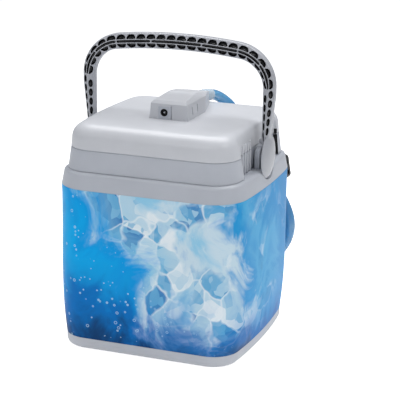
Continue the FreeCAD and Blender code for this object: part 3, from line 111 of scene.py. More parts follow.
# %% Hose route
MM = 0.001
HOSE_EXIT = (1.94, 73.76, 269.7)
HOSE_DROP = [(5.85, 89.35, 269.7), (12.2, 103.2, 264.7), (20.3, 113.7, 255.4), (28.9, 119.3, 243.1),
             (41.3, 120.2, 223.8), (54.2, 119.4, 202.8), (67.3, 119.9, 180.8), (80.6, 119.2, 158.4)]
HOSE_TAIL = [(-72.5, 134.0, 122.3), (-64.5, 137.4, 142.8), (-46.0, 138.6, 156.3),
             (-23.0, 138.3, 163.1), (0.0, 138.1, 163.4), (23.2, 138.0, 164.31),
             (45.85, 138.0, 168.31)]
COIL_MIDDLE, COIL_HEIGHT, COIL_STRAIGHT = 9.0, 107.8, 42.0
ARC_STEP = 30
# The bends of the inner and outer turns, and how far back the front and the rear turns lie.
INNER, MIDDLE, OUTER, FRONT_TURNS, REAR_TURNS = 38, 40, 51, 119.5, 133.0
# Each stretch of the coil: the end it rounds, its first and last angle, bend and depth.
COIL_STRETCHES = [
    ("right", 30, -90, OUTER, OUTER, FRONT_TURNS, FRONT_TURNS),
    ("left", -90, -270, OUTER, OUTER, FRONT_TURNS, FRONT_TURNS),
    ("right", 90, -90, INNER, INNER, FRONT_TURNS, FRONT_TURNS),
    ("left", -90, -270, INNER, MIDDLE, FRONT_TURNS, REAR_TURNS),
    ("right", 90, -90, MIDDLE, MIDDLE, REAR_TURNS, REAR_TURNS),
    ("left", -90, -195, MIDDLE, MIDDLE, REAR_TURNS, REAR_TURNS),
]


def coil_points():
    """Control points of the coil, one for each 30 degrees of a round end.

    They stand a little outside the bend, because the curve cuts its corners.
    """
    reach = 1 / math.cos(math.radians(ARC_STEP / 2))
    points = []
    for end, start, stop, bend_a, bend_b, depth_a, depth_b in COIL_STRETCHES:
        middle = COIL_MIDDLE + (COIL_STRAIGHT if end == "right" else -COIL_STRAIGHT)
        steps = abs(stop - start) // ARC_STEP
        for step in range(steps):
            share = (step + 0.5) / steps
            turn = math.radians(start - ARC_STEP * (step + 0.5))
            bend = (bend_a + share * (bend_b - bend_a)) * reach
            points.append((middle + bend * math.cos(turn), depth_a + share * (depth_b - depth_a),
                           COIL_HEIGHT + bend * math.sin(turn)))
    return points


hose_route = [HOSE_EXIT] + HOSE_DROP + coil_points() + HOSE_TAIL
print("hose route:", len(hose_route), "control points")

# %% [markdown]
# ## The hose
# The real hose is two thin water tubes inside one smooth sheath, 13 mm across and about a
# metre and a half long. A mesh tube would do, but one NURBS curve with a round bevel bends as
# gently as a real hose does, and its length can be measured along its line.

# %% Hose curve
HOSE_WIDTH = 13.0
ALONG_STEPS, ROUND_STEPS = 10, 7


def sheath(name, points, width):
    """A smooth round bar along control points in millimetres."""
    curve = bpy.data.curves.new(name, "CURVE")
    curve.dimensions = "3D"
    spline = curve.splines.new("NURBS")
    spline.points.add(len(points) - 1)
    for spot, place in zip(spline.points, points):
        spot.co = (place[0] * MM, place[1] * MM, place[2] * MM, 1)
    spline.order_u = 3
    spline.use_endpoint_u = True
    curve.resolution_u, curve.bevel_resolution = ALONG_STEPS, ROUND_STEPS
    curve.bevel_depth = width / 2 * MM
    curve.use_fill_caps = True
    thing = bpy.data.objects.new(name, curve)
    scene.collection.objects.link(thing)
    return thing


def line_of(thing):
    """The points of a curve's own line, without its bevel."""
    bare = thing.copy()
    bare.data = thing.data.copy()
    bare.data.bevel_depth = 0
    bare.data.use_fill_caps = False
    mesh = bpy.data.meshes.new_from_object(bare)
    points = [vertex.co.copy() for vertex in mesh.vertices]
    bpy.data.objects.remove(bare)
    bpy.data.meshes.remove(mesh)
    return points


hose = sheath("blue_hose", hose_route, HOSE_WIDTH)
hose_line = line_of(hose)

# %% [markdown]
# ## Forms from rings
# Moulded plastic parts have even walls and soft edges. Most of them here are swept: closed
# rings of points are stacked, and quads join each ring to the next. A wall with a thickness is
# one loop of rings, up the outside and down the inside, so the piece is a closed solid with no
# stray faces. Cutting boxes with modifiers would give less control over the soft edges.

# %% Forms from rings
def skin(rings, closed=False, open_rings=False):
    """Points and quads of a stack of rings, each with the same number of points."""
    count = len(rings[0])
    points = [point for ring in rings for point in ring]
    faces = []
    for low in range(len(rings) if closed else len(rings) - 1):
        near, far = low * count, (low + 1) % len(rings) * count
        for k in range(count - open_rings):
            after = (k + 1) % count
            faces.append((near + k, near + after, far + after, far + k))
    return points, faces


def capped(rings):
    """A stack of rings with a flat face on its first and its last ring."""
    points, faces = skin(rings)
    count = len(rings[0])
    last = len(points) - count
    return points, faces + [tuple(range(count)), tuple(range(last, last + count))]


class Shell:
    """Collects points and faces, with a mark on those that are painted black as shade."""

    def __init__(self):
        self.points, self.faces, self.dark = [], [], []

    def add(self, points, faces, dark=False):
        start = len(self.points)
        self.points += [tuple(point) for point in points]
        self.faces += [tuple(start + k for k in face) for face in faces]
        self.dark += [dark] * len(faces)

    def strip(self, lines):
        self.add(*skin(lines, open_rings=True))


def merged(parts):
    """Several sets of points and faces as one."""
    shell = Shell()
    for part in parts:
        shell.add(*part)
    return shell.points, shell.faces


def round_turns(steps, start=0.0):
    """Evenly spaced angles of one full turn."""
    return np.linspace(start, start + 2 * math.pi, steps + 1)[:-1]


square = ((0, 0), (1, 0), (1, 1), (0, 1))
cube = capped([[(x, y, z) for x, y in square] for z in (0, 1)])
print("a cube made of two rings has", len(cube[1]), "faces")

# %% [markdown]
# ## From a form to a piece
# A form is only points and faces. To be a part of the cooler it needs a mesh with joined
# points, faces that look outwards, and smooth shading that keeps its corners. This could be
# done by hand in edit mode. One function does it alike for every piece, and also says which
# body the piece moves with, which finish it has and which solids it stands for.

# %% From a form to a piece
JOIN_GAP = 0.00002


def tidy(thing):
    """Join points that meet, and turn every face outwards."""
    form = bmesh.new()
    form.from_mesh(thing.data)
    bmesh.ops.remove_doubles(form, verts=form.verts, dist=JOIN_GAP)
    bmesh.ops.dissolve_degenerate(form, dist=JOIN_GAP, edges=form.edges)
    bmesh.ops.recalc_face_normals(form, faces=form.faces)
    form.to_mesh(thing.data)
    form.free()


def crease(thing, angle):
    """Shade smooth, but keep edges that turn by more than an angle sharp."""
    thing.data.polygons.foreach_set("use_smooth", [True] * len(thing.data.polygons))
    thing.data.set_sharp_from_angle(angle=math.radians(angle))


def enlist(thing, body, slot, stands_for):
    """Let a piece ride on a body, name its finish, and let it stand for solids."""
    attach(thing, body)
    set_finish(thing, slot)
    if stands_for:
        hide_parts(*stands_for)
    print("%s: %d faces" % (thing.name, len(thing.data.polygons)))


def piece(name, form, body, slot, stands_for=(), angle=50, finishes=None):
    """A mesh from points in millimetres and faces.

    The finishes hold a number for each face: which of the piece's materials covers it.
    """
    points, faces = form
    mesh = bpy.data.meshes.new(name)
    mesh.from_pydata([(x * MM, y * MM, z * MM) for x, y, z in points], [], faces)
    if finishes:
        mesh.polygons.foreach_set("material_index", finishes)
    thing = bpy.data.objects.new(name, mesh)
    scene.collection.objects.link(thing)
    tidy(thing)
    crease(thing, angle)
    enlist(thing, body, slot, stands_for)
    return thing


print("pieces join points closer than %.2f mm" % (JOIN_GAP / MM))

# %% [markdown]
# ## The plan of the cooler
# Seen from above, the front and back are straight, the sides bow out a little and the corners
# are round. It could be traced as a curve. Three sizes at each level say as much: the half
# width, the half depth and the corner's radius. The bow of the sides is the same all the way.

# %% Sizes of the plan
BOW = 7.2
# Each plan holds its half width, its half depth and its corner's radius.
RIM = (113.3, 108.9, 40.0)
SHOULDER = (110.0, 105.6, 36.7)
LEDGE = (106.4, 101.9, 31.4)
BAND = (105.6, 101.1, 30.6)
SEAM = (102.7, 98.2, 29.9)
RIM_HEIGHT = 191.7
SHOULDER_HEIGHT = RIM_HEIGHT + 17.1
LEDGE_HEIGHT = SHOULDER_HEIGHT + 2.0
PIVOT_HEIGHT = LEDGE_HEIGHT + 13.0
SEAM_HEIGHT = LEDGE_HEIGHT + 24.6
CROWN_HEIGHT = SEAM_HEIGHT + 26.4
levels = (RIM_HEIGHT, LEDGE_HEIGHT, SEAM_HEIGHT, CROWN_HEIGHT)
print("heights in mm:", [round(z, 1) for z in levels])

# %% [markdown]
# ## The plan as a ring
# A ring is the plan as a closed row of points at one height. Blender's curve tools could draw
# it, but every ring needs the same number of points in the same order. So a quarter is worked
# out in a fixed number of steps, and mirrored twice.

# %% The plan as a ring
FRONT_MARKS, CORNER_MARKS, SIDE_MARKS, PLAIN_STEPS = 6, 25, 25, 34


def between(plan_a, plan_b, share):
    return tuple(a + share * (b - a) for a, b in zip(plan_a, plan_b))


class Outline:
    """A quarter of the plan: a straight front, a round corner and a bowed side."""

    def __init__(self, plan, inset=0.0):
        half_width, half_depth, corner = plan
        side = (half_depth ** 2 + BOW ** 2) / (2 * BOW)
        self.middle = half_width - side
        self.rise = half_depth - corner
        self.reach = self.middle + math.sqrt((side - corner) ** 2 - self.rise ** 2)
        self.swing = math.atan2(self.rise, self.reach - self.middle)
        self.corner = max(corner - inset, 0.5)
        self.side = side - inset
        self.depth = self.rise + self.corner
        self.join = self.side * math.sin(self.swing)

    def side_x(self, y):
        """How far out the side or corner lies at a distance y from the middle."""
        y = abs(y)
        if y <= self.join:
            return self.middle + math.sqrt(self.side ** 2 - y ** 2)
        return self.reach + math.sqrt(max(self.corner ** 2 - (y - self.rise) ** 2, 0.0))

    def front(self):
        """Points along the straight front, from its middle to the corner."""
        return [(x, -self.depth) for x in np.linspace(0, self.reach, FRONT_MARKS)[:-1]]

    def bend(self, until, steps):
        """Points round the corner and along the side, as far as y = until."""
        turns = np.linspace(-math.pi / 2, -self.swing, CORNER_MARKS)
        line = [(self.reach + self.corner * math.cos(t), -self.rise + self.corner * math.sin(t))
                for t in turns]
        if until < self.join:
            line += [(self.side_x(y), y) for y in np.linspace(-self.join, -until, SIDE_MARKS)[1:]]
        else:
            line = [point for point in line if point[1] < -until] + [(self.side_x(until), -until)]
        line = np.array(line)
        run = np.concatenate([[0], np.cumsum(np.hypot(*np.diff(line, axis=0).T))])
        marks = np.linspace(0, run[-1], steps + 1)
        return list(zip(np.interp(marks, run, line[:, 0]), np.interp(marks, run, line[:, 1])))


def whole(quarter, z):
    """The full ring of a quarter that runs from the middle of the front to that of the right."""
    right = quarter + [(x, -y) for x, y in reversed(quarter[:-1])]
    left = [(-x, -y) for x, y in quarter[1:]] + [(-x, y) for x, y in reversed(quarter[1:-1])]
    return [(x, y, z) for x, y in right + left]


def plain_ring(plan, z, inset=0.0):
    outline = Outline(plan, inset)
    return whole(outline.front() + outline.bend(0.0, PLAIN_STEPS), z)


print("points in a plain ring:", len(plain_ring(RIM, RIM_HEIGHT)))

# %% [markdown]
# ## The notch in the plan
# Near the pivots the lid steps in to a flat wall, so that the handle's arms can swing past it.
# Both edges of the step are rounded. A boolean cut would leave hard edges, so the notch is
# part of each ring instead. Where the lid's round top edge comes further in than the wall, the
# step fades out, and the ring keeps the same number of points.

# %% The ring with its notch
NOTCH_WALL = 95.0
# The notch's half width where it starts and where it ends, with their heights.
NOTCH_LOW, NOTCH_HIGH = (LEDGE_HEIGHT - 1.0, 60.0), (CROWN_HEIGHT + 5.0, 68.0)
NOTCH_OUTER, NOTCH_INNER, FADE_DEPTH = 1.2, 6.0, 3.0
OUTER_STEPS, INNER_STEPS, BEND_POINTS, WALL_MARKS = 5, 6, 20, 9


def smooth(share):
    """A share from 0 to 1 that starts and ends gently."""
    share = min(max(share, 0.0), 1.0)
    return share * share * (3 - 2 * share)


def notch_half(z):
    (low, low_half), (high, high_half) = NOTCH_LOW, NOTCH_HIGH
    return low_half + (high_half - low_half) * (z - low) / (high - low)


def soft_least(a, b, reach):
    """The lesser of two numbers, with a soft passage where they are close."""
    share = min(max(0.5 + 0.5 * (b - a) / reach, 0.0), 1.0)
    return b + share * (a - b) - reach * share * (1 - share)


def eased(start, corner, end, steps):
    """Points of a smooth bend from start to end that heads for a corner."""
    return [tuple((1 - t) ** 2 * s + 2 * t * (1 - t) * c + t ** 2 * e
                  for s, c, e in zip(start, corner, end))
            for t in np.linspace(0, 1, steps + 1)]


def notched_ring(plan, z, inset, sunk, outer_round, inner_round, soft=0.8):
    """The plan's ring with a notch in each side, both sunk below the outer skin."""
    outline = Outline(plan, inset)
    wall, half = NOTCH_WALL - sunk, notch_half(z) + sunk
    edge_x = outline.side_x(half)
    depth = edge_x - wall
    fade = smooth(depth / FADE_DEPTH)
    outer = min(outer_round, 0.5 * max(depth, 0.0) + 0.05)
    inner = min(inner_round, 0.9 * max(depth - outer, 0.0) + 0.05)
    reach = min(half + outer_round, outline.depth - 1.0)

    def wall_x(y):
        return soft_least(wall, outline.side_x(y), soft)

    lead = min(half + outer, outline.depth - 0.5)
    step = eased((outline.side_x(lead), -lead), (edge_x, -half), (edge_x - outer, -half),
                 OUTER_STEPS)
    step += eased((wall + inner, -half), (wall, -half), (wall, -half + inner), INNER_STEPS)
    flat = np.linspace(-reach, -half + inner_round, len(step))
    plain = [(wall_x(y) if y > -half else outline.side_x(y), y) for y in flat]
    mixed = [between(a, b, fade) for a, b in zip(plain, step)]
    bend = outline.bend(-mixed[0][1], BEND_POINTS)[:-1]
    rest = [(wall_x(y), y) for y in np.linspace(mixed[-1][1], 0, WALL_MARKS)[1:]]
    return whole(outline.front() + bend + mixed + rest, z)


print("notch: %.0f mm wide at the ledge" % (2 * notch_half(LEDGE_HEIGHT)))

# %% [markdown]
# ## The collar
# A grey ring caps the insulated wall and carries the handle's pivots. Its outside follows the
# plan, its shoulder is rounded, and a shallow round recess in each side makes room for the
# handle's disc. The recess could be cut with a cylinder. Here a pair of points lies at its edge
# in every ring, which keeps the mesh in clean quads.

# %% Collar
MOUTH_INSET, MOUTH_DROPS = 26.5, (0.0, 6.0, 19.0)
RECESS_RADIUS, RECESS_FACE, RECESS_EDGE, RECESS_LEAST = 26.0, 108.7, 0.25, 2.0
RECESS_BEND, RECESS_MARKS = 26, 9
RECESS_LOW = PIVOT_HEIGHT - RECESS_RADIUS - RIM_HEIGHT
SHOULDER_START = 15.5
# How far each ring of the collar's outside lies above the rim: the foot, the recess, the rest.
COLLAR_RISES = [0.0, 0.5, 2.6] + [RECESS_LOW + step for step in (-0.3, 0.0, 0.15, 0.5, 1.2, 2.4)]
COLLAR_RISES += [10.1, 12.1, 14.1, SHOULDER_START]


def collar_ring(plan, z, inset=0.0, sunk=True):
    outline = Outline(plan, inset)
    drop = RECESS_RADIUS ** 2 - (z - PIVOT_HEIGHT) ** 2
    face_x = RECESS_FACE if sunk and drop > 0 else math.inf
    half = max(math.sqrt(max(drop, 0.0)), RECESS_LEAST)
    face = [(min(outline.side_x(y), face_x), y)
            for y in np.linspace(-half + RECESS_EDGE, 0, RECESS_MARKS)]
    return whole(outline.front() + outline.bend(half, RECESS_BEND) + face, z)


def collar_rings():
    rise_share = 1 / (SHOULDER_HEIGHT - RIM_HEIGHT)
    rings = [collar_ring(between(RIM, SHOULDER, rise * rise_share), RIM_HEIGHT + rise,
                         0.35 if rise == 0 else 0.0) for rise in COLLAR_RISES]
    # The shoulder's rounding, then the sloping ledge, then the mouth.
    below = between(RIM, SHOULDER, SHOULDER_START * rise_share)
    above = between(SHOULDER, LEDGE, 0.45)
    for *plan, z in eased((*below, RIM_HEIGHT + SHOULDER_START), (*SHOULDER, SHOULDER_HEIGHT),
                          (*above, SHOULDER_HEIGHT + 0.9), 4)[1:]:
        rings.append(collar_ring(plan, z))
    rings.append(collar_ring(between(SHOULDER, LEDGE, 0.9), LEDGE_HEIGHT - 0.2))
    rings.append(collar_ring(LEDGE, LEDGE_HEIGHT, 0.4))
    rings.append(collar_ring(LEDGE, LEDGE_HEIGHT, 6.0, False))
    rings += [collar_ring(RIM, LEDGE_HEIGHT - drop, MOUTH_INSET, False) for drop in MOUTH_DROPS]
    return rings


print("rings in the collar:", len(collar_rings()))

# %% [markdown]
# ## The pivot ears
# Two upright ears on the collar hold the handle's pins. Each is a slab with a round top and a
# bore. A cylinder joined to a box would leave a seam. Here the outline is the pivot's circle
# above and runs out to a square foot below, so one loop of rings makes slab and bore together.

# %% Pivot ears
EAR_INSIDE, EAR_OUTSIDE, EAR_RADIUS, EAR_BORE, EAR_SOFT = 97.0, 103.0, 11.0, 6.05, 0.6
EAR_DEPTH = PIVOT_HEIGHT - (LEDGE_HEIGHT - 3.0)
EAR_SIDES = 48
TINY = 1e-6


def ear(sign):
    """An upright ear with a round top and a bore for the pivot pin."""
    turns = [(math.cos(turn), math.sin(turn)) for turn in round_turns(EAR_SIDES, -math.pi / 2)]
    loops = []
    for x, shrink in ((EAR_INSIDE, EAR_SOFT), (EAR_INSIDE + EAR_SOFT, 0),
                      (EAR_OUTSIDE - EAR_SOFT, 0), (EAR_OUTSIDE, EAR_SOFT)):
        loop = []
        for y, z in turns:
            reach = EAR_RADIUS - shrink
            if z < 0:
                reach = min(reach / max(abs(y), TINY), EAR_DEPTH / max(-z, TINY))
            loop.append((sign * x, reach * y, PIVOT_HEIGHT + reach * z))
        loops.append(loop)
    for x in (EAR_OUTSIDE, EAR_INSIDE):
        loops.append([(sign * x, EAR_BORE * y, PIVOT_HEIGHT + EAR_BORE * z) for y, z in turns])
    return skin(loops, closed=True)


collar = merged([skin(collar_rings(), closed=True), ear(1), ear(-1)])
piece("collar_and_ears", collar, "cooler", "grey_plastic", ["rim_collar"], 35)

# %% [markdown]
# ## The lid's lower band
# The band is a wall 3 mm thick. It stands on the collar with its notches round the pivots, and
# a fine groove at its top makes the dark seam under the dome. A painted line would look flat
# from the side; a real groove catches its own shade.

# %% Lid band
LID_BASE, SEAM_GAP, WALL = LEDGE_HEIGHT + 0.3, 0.8, 3.0
GROOVE_LOW = SEAM_HEIGHT - SEAM_GAP
GROOVE_DEPTH, BAND_INNER = 1.0, 3.0


def band_ring(z, inset, inner_round=NOTCH_INNER):
    plan = between(BAND, SEAM, (z - LID_BASE) / (SEAM_HEIGHT - LID_BASE))
    return notched_ring(plan, z, inset, inset, NOTCH_OUTER, inner_round)


band_marks = [(LID_BASE, 0.5), (LID_BASE + 0.15, 0.15), (LID_BASE + 0.5, 0.0)]
band_marks += [(z, 0.0) for z in np.linspace(LID_BASE + 2.7, GROOVE_LOW - 0.7, 8)]
band_marks += [(GROOVE_LOW - 0.2, 0.1), (GROOVE_LOW, 0.35), (GROOVE_LOW, GROOVE_DEPTH),
               (SEAM_HEIGHT, GROOVE_DEPTH)]
inner_heights = (SEAM_HEIGHT, SEAM_HEIGHT - 8.0, LID_BASE + 8.0, LID_BASE)
band_rings = [band_ring(z, inset) for z, inset in band_marks]
band_rings += [band_ring(z, WALL, BAND_INNER) for z in inner_heights]
piece("lid_band", skin(band_rings, closed=True), "lid", "grey_plastic", ["lid_skirt"], 35)

# %% [markdown]
# ## The dome
# The top of the lid is a soft pillow: walls that lean in by five degrees, then a round edge of
# 17 mm up to the flat top. A subdivided box would look alike but drift from the real sizes. An
# opening in the top lets the tubes up into the housing, so the last rings turn from the plan
# into that opening and go down through the wall.

# %% Dome
CROWN_ROUND = 17.0
LEAN = math.atan(2.3 / (CROWN_HEIGHT - SEAM_HEIGHT))
OPENING_X, OPENING_Y, OPENING_HALF_X, OPENING_HALF_Y = 0.0, 37.0, 17.0, 13.0
# The dome's notch grows softer over its first 12 mm.
SOFTEN_RISE = 12.0
LEAN_RINGS, ROUND_RINGS = 4, 15


def dome_ring(z, inset, sunk=0.0):
    rise = min(max((z - SEAM_HEIGHT) / SOFTEN_RISE, 0.0), 1.0)
    return notched_ring(SEAM, z, inset, sunk, NOTCH_OUTER + 4.5 * rise, NOTCH_INNER - 2.0 * rise,
                        1.0 + 2.0 * rise)


def dome_profile(sunk, rounding):
    """Height and inset of each ring, from the seam over the round edge to the flat top."""
    centre_z = CROWN_HEIGHT - sunk - rounding
    centre_in = (centre_z - SEAM_HEIGHT) * math.tan(LEAN) + rounding / math.cos(LEAN) + sunk
    marks = [(z, (z - SEAM_HEIGHT) * math.tan(LEAN) + sunk)
             for z in np.linspace(SEAM_HEIGHT + 0.7, centre_z - 1.5, LEAN_RINGS)]
    for turn in np.linspace(LEAN, math.pi / 2, ROUND_RINGS):
        marks.append((centre_z + rounding * math.sin(turn), centre_in - rounding * math.cos(turn)))
    return marks


def opening_ring(ring, z):
    """The ring's points brought in to the opening, each along its own line to the middle."""
    spots = []
    for x, y, _ in ring:
        dx, dy = x - OPENING_X, y - OPENING_Y
        reach = min(OPENING_HALF_X / max(abs(dx), TINY), OPENING_HALF_Y / max(abs(dy), TINY))
        spots.append((OPENING_X + dx * reach, OPENING_Y + dy * reach, z))
    return spots


def toward(ring_a, ring_b, share):
    return [between(a, b, share) for a, b in zip(ring_a, ring_b)]


dome_marks = [(SEAM_HEIGHT, 0.8), (SEAM_HEIGHT, 0.45), (SEAM_HEIGHT + 0.15, 0.12)]
dome_marks += dome_profile(0.0, CROWN_ROUND)
dome_rings = [dome_ring(z, inset) for z, inset in dome_marks]
top_ring, top_hole = dome_rings[-1], opening_ring(dome_rings[-1], CROWN_HEIGHT)
dome_rings += [toward(top_ring, top_hole, share) for share in (0.15, 0.45, 0.8)] + [top_hole]
under = [dome_ring(z, inset, WALL) for z, inset in dome_profile(WALL, CROWN_ROUND - WALL)]
low_hole = opening_ring(under[-1], CROWN_HEIGHT - WALL)
dome_rings += [low_hole] + [toward(under[-1], low_hole, share) for share in (0.8, 0.4)]
dome_rings += list(reversed(under)) + [dome_ring(SEAM_HEIGHT, WALL, WALL)]
piece("lid_top", skin(dome_rings, closed=True), "lid", "light_grey_plastic", ["lid_dome"], 40)

# %% [markdown]
# ## Ribs in the notches
# Upright ribs stiffen the inner wall of each notch, four ahead of the pivot and four behind.
# Bump in the material would hint at them, but they stand 1.4 mm out and show at the edge, so
# each is a slim bar whose front corners are rounded.

# %% Ribs
RIB_PLACES = [sign * (21.0 + 9.0 * index) for sign in (-1, 1) for index in range(4)]
RIB_HALF, RIB_ROOT, RIB_FACE, RIB_TOP = 1.1, 94.6, 96.4, SEAM_HEIGHT + 10.4


def rib(sign, y, low, high):
    loops = []
    for z, shrink in ((low, 0.0), (high - 0.8, 0.0), (high - 0.2, 0.25), (high, 0.7)):
        face, half = RIB_FACE - shrink, RIB_HALF - 0.4 * shrink
        left = [(RIB_ROOT, -half), (face - 0.5, -half), (face - 0.15, -half + 0.15),
                (face, -half + 0.5)]
        outline = left + [(x, -aside) for x, aside in reversed(left)]
        loops.append([(sign * x, y + aside, z) for x, aside in outline])
    return capped(loops)


for name, low, high in (("band_ribs", LID_BASE, GROOVE_LOW), ("dome_ribs", SEAM_HEIGHT, RIB_TOP)):
    ribs = merged([rib(sign, y, low, high) for sign in (1, -1) for y in RIB_PLACES])
    piece(name, ribs, "lid", "light_grey_plastic")

# %% [markdown]
# ## The bail handle
# The grip is an arch of grey plastic. Two rows of pockets and a line of long slots are sunk in
# it; they lie deep in shade, and their walls and floors are painted black as that shade. A bent
# tube would give the outline, but not the faces that the pockets need. So first comes the line
# that the grip follows: a shallow arch, two bends and two arms that lean out a little. It is
# measured in steps, eight to a pocket, and pockets then fall at the same places on every face.

# %% The grip's line
BAR_TOP = PIVOT_HEIGHT + 122.6
ARM_X, ARM_HALF, BAR_HALF = 109.7, 6.7, 9.0
BEND, ARCH = 41.0, 618.0
# The arm below the bend: how far each mark lies above the pivot, its middle and its half width.
ARM_MARKS = [(-9.0, 107.8, 3.9), (11.0, 107.8, 3.9), (26.0, 107.4, 4.5), (69.0, ARM_X, ARM_HALF)]
FRONT, SIDE_FRONT, EDGE_ROUND = 8.0, 4.6, 0.8
RIDGE_HALF, RIDGE_LOSS, RIDGE_FADE = 2.1, 1.3, 12
BAR_END, BEND_STEPS, ARM_STEPS, FOOT_STEPS, POCKET_STEPS = 48, 40, 40, 16, 8
POCKET_ARM = 53.0
BEND_END = BAR_END + BEND_STEPS
ARM_END = BEND_END + ARM_STEPS
GRIP_END = ARM_END + FOOT_STEPS

bend_x = ARM_X - BEND
arch_z = BAR_TOP - ARCH
bend_z = arch_z + math.sqrt((ARCH - BEND) ** 2 - bend_x ** 2)
arm_low = bend_z - POCKET_ARM
foot_low = PIVOT_HEIGHT + ARM_MARKS[0][0]
end_turn = math.atan2(bend_z - arch_z, bend_x)


def grip_at(step):
    """Middle, outward turn, half width and ridge half width of the grip at a step from the top."""
    t = abs(step)
    if t <= BAR_END:
        turn = math.pi / 2 + (end_turn - math.pi / 2) * t / BAR_END
        x, z, half = ARCH * math.cos(turn), arch_z + ARCH * math.sin(turn), BAR_HALF
    elif t <= BEND_END:
        share = 1 - (t - BAR_END) / BEND_STEPS
        turn = end_turn * share
        x, z = bend_x + BEND * math.cos(turn), bend_z + BEND * math.sin(turn)
        half = ARM_HALF + share * (BAR_HALF - ARM_HALF)
    else:
        if t <= ARM_END:
            z = bend_z - POCKET_ARM * (t - BEND_END) / ARM_STEPS
        else:
            z = arm_low - (arm_low - foot_low) * (t - ARM_END) / FOOT_STEPS
        marks, middles, halves = zip(*ARM_MARKS)
        x, half = (float(np.interp(z - PIVOT_HEIGHT, marks, values))
                   for values in (middles, halves))
        turn = 0.0
    ridge = RIDGE_HALF - RIDGE_LOSS * smooth((t - BEND_END + POCKET_STEPS) / RIDGE_FADE)
    if step < 0:
        x, turn = -x, math.pi - turn
    return x, z, turn, half, ridge


def grip_point(step, out, y):
    x, z, turn = grip_at(step)[:3]
    return (x + out * math.cos(turn), y, z + out * math.sin(turn))


def edge_y(half, ridge):
    """How far forward the sloping face still lies where the rounded edge starts."""
    return SIDE_FRONT + EDGE_ROUND * (FRONT - SIDE_FRONT) / (half - ridge)


def slope_point(step, share, outer, face):
    """A point on a sloping face, from the ridge at 0 to the side at 1."""
    half, ridge = grip_at(step)[3:]
    out = ridge + share * (half - EDGE_ROUND - ridge)
    return grip_point(step, outer * out, face * (FRONT + share * (edge_y(half, ridge) - FRONT)))


def ridge_point(step, share, outer, face):
    """A point on the flat ridge, across from one long edge at 0 to the other at 1."""
    ridge = grip_at(step)[4]
    return grip_point(step, outer * ridge * (2 * share - 1), face * FRONT)


print("grip: top at %.1f mm, arms %.1f mm from the middle" % (BAR_TOP, ARM_X))

# %% [markdown]
# ## One pocket
# On the real grip the pockets save plastic and keep the hand from slipping. A pocket starts
# from its cell, a strip of the face eight steps long. Inside the cell lies the pocket's outline
# with as many points as the cell's edge, so quads can join the two, where a boolean cut would
# leave slivers. The outline goes in over a small chamfer, down a wall, and closes on a floor
# that swells a little. Wall and floor are painted black, as the shade inside the pocket.

# %% One pocket
POCKET_SLIM = 0.12


def d_outline(u):
    """A half moon with its flat side to the ridge: place along it, near and far share at u."""
    return 0.94 * u, 0.06, 0.24 + 0.7 * math.sqrt(max(1 - abs(0.99 * u) ** 2.6, 0.0))


def egg_outline(u):
    reach = 0.46 * math.sqrt(max(1 - (0.98 * u) ** 2, 0.0)) ** 0.8
    return 0.88 * u, 0.49 - reach, 0.49 + reach


def slot_outline(u):
    along, reach = (0.985, 0.18) if abs(u) == 1 else (0.975, 0.35)
    return along * u, 0.5 - reach, 0.5 + reach


def pocket(shell, surface, start, steps, outline, depth, outer, face, swell=0.7):
    """One pocket in its cell of a face. The outline runs from u = -1 to 1."""
    marks = [2 * k / steps - 1 for k in range(steps + 1)]

    def at(u, share):
        return Vector(surface(start + steps * (u + 1) / 2, share, outer, face))

    middle = at(0, 0.5)
    ahead = Vector(surface(start + steps / 2 + 0.5, 0.5, outer, face)) - middle
    inward = ahead.cross(at(0, 0.6) - middle).normalized()
    if inward.y * face > 0:
        inward = -inward

    edge = [at(u, 0) for u in marks] + [at(u, 1) for u in reversed(marks)]
    shape = [outline(u)[:2] for u in marks] + [outline(u)[::2] for u in reversed(marks)]
    centre_share = sum(share for _, share in shape) / len(shape)

    def loop(scale, sink):
        return [at(u * scale, centre_share + scale * (share - centre_share)) + inward * sink
                for u, share in shape]

    slim = 1 - POCKET_SLIM / (0.7 * steps)
    lip = [edge, loop(1.0, 0.0), loop(slim, 0.12), loop(slim ** 3, 0.45)]
    wall = [lip[-1], loop(slim ** 4, depth * 0.8), loop(slim ** 6, depth),
            loop(slim ** 6 * 0.55, depth - swell)]
    shell.add(*skin(lip))
    # The wall and the floor are marked to be painted black, as the pocket's shade.
    shell.add(*skin(wall), dark=True)
    last, count = wall[-1], len(shape)
    centre = sum(last, Vector()) / count - inward * 0.2 * swell
    shell.add(last + [centre], [(k, (k + 1) % count, count) for k in range(count)], dark=True)


for name, outline in (("half moon", d_outline), ("oval", egg_outline), ("slot", slot_outline)):
    print("%s: %.2f of its cell's length" % (name, outline(1)[0]))

# %% [markdown]
# ## Rows, ridge and sides
# The grip has four sloping faces, two ridges and two rounded sides. Each sloping face carries a
# row of pockets: half moons on the bar and bends, ovals on the arms. The outer and inner rows
# are half a pocket apart on the arms, as bricks are, so the walls between them stay strong.
# Copies of one finished pocket would not fit the bends, so each is made for its own place.

# %% Rows, ridge and sides
D_DEPTH, EGG_DEPTH, SLOT_DEPTH, SLOT_SWELL = 2.6, 2.2, 2.4, 0.2
# Where each slot of the ridge starts, and its length in steps.
SLOTS = [(-48, 28), (-20, 40), (20, 28), (48, 20), (68, 20), (-68, 20), (-88, 20)]
GRIP_STEPS = range(-GRIP_END, GRIP_END + 1)


def plain(shell, surface, start, steps, outer, face):
    """A stretch of a face without a pocket."""
    shell.strip([[surface(start + k, share, outer, face) for k in range(steps + 1)]
                 for share in (0, 1)])


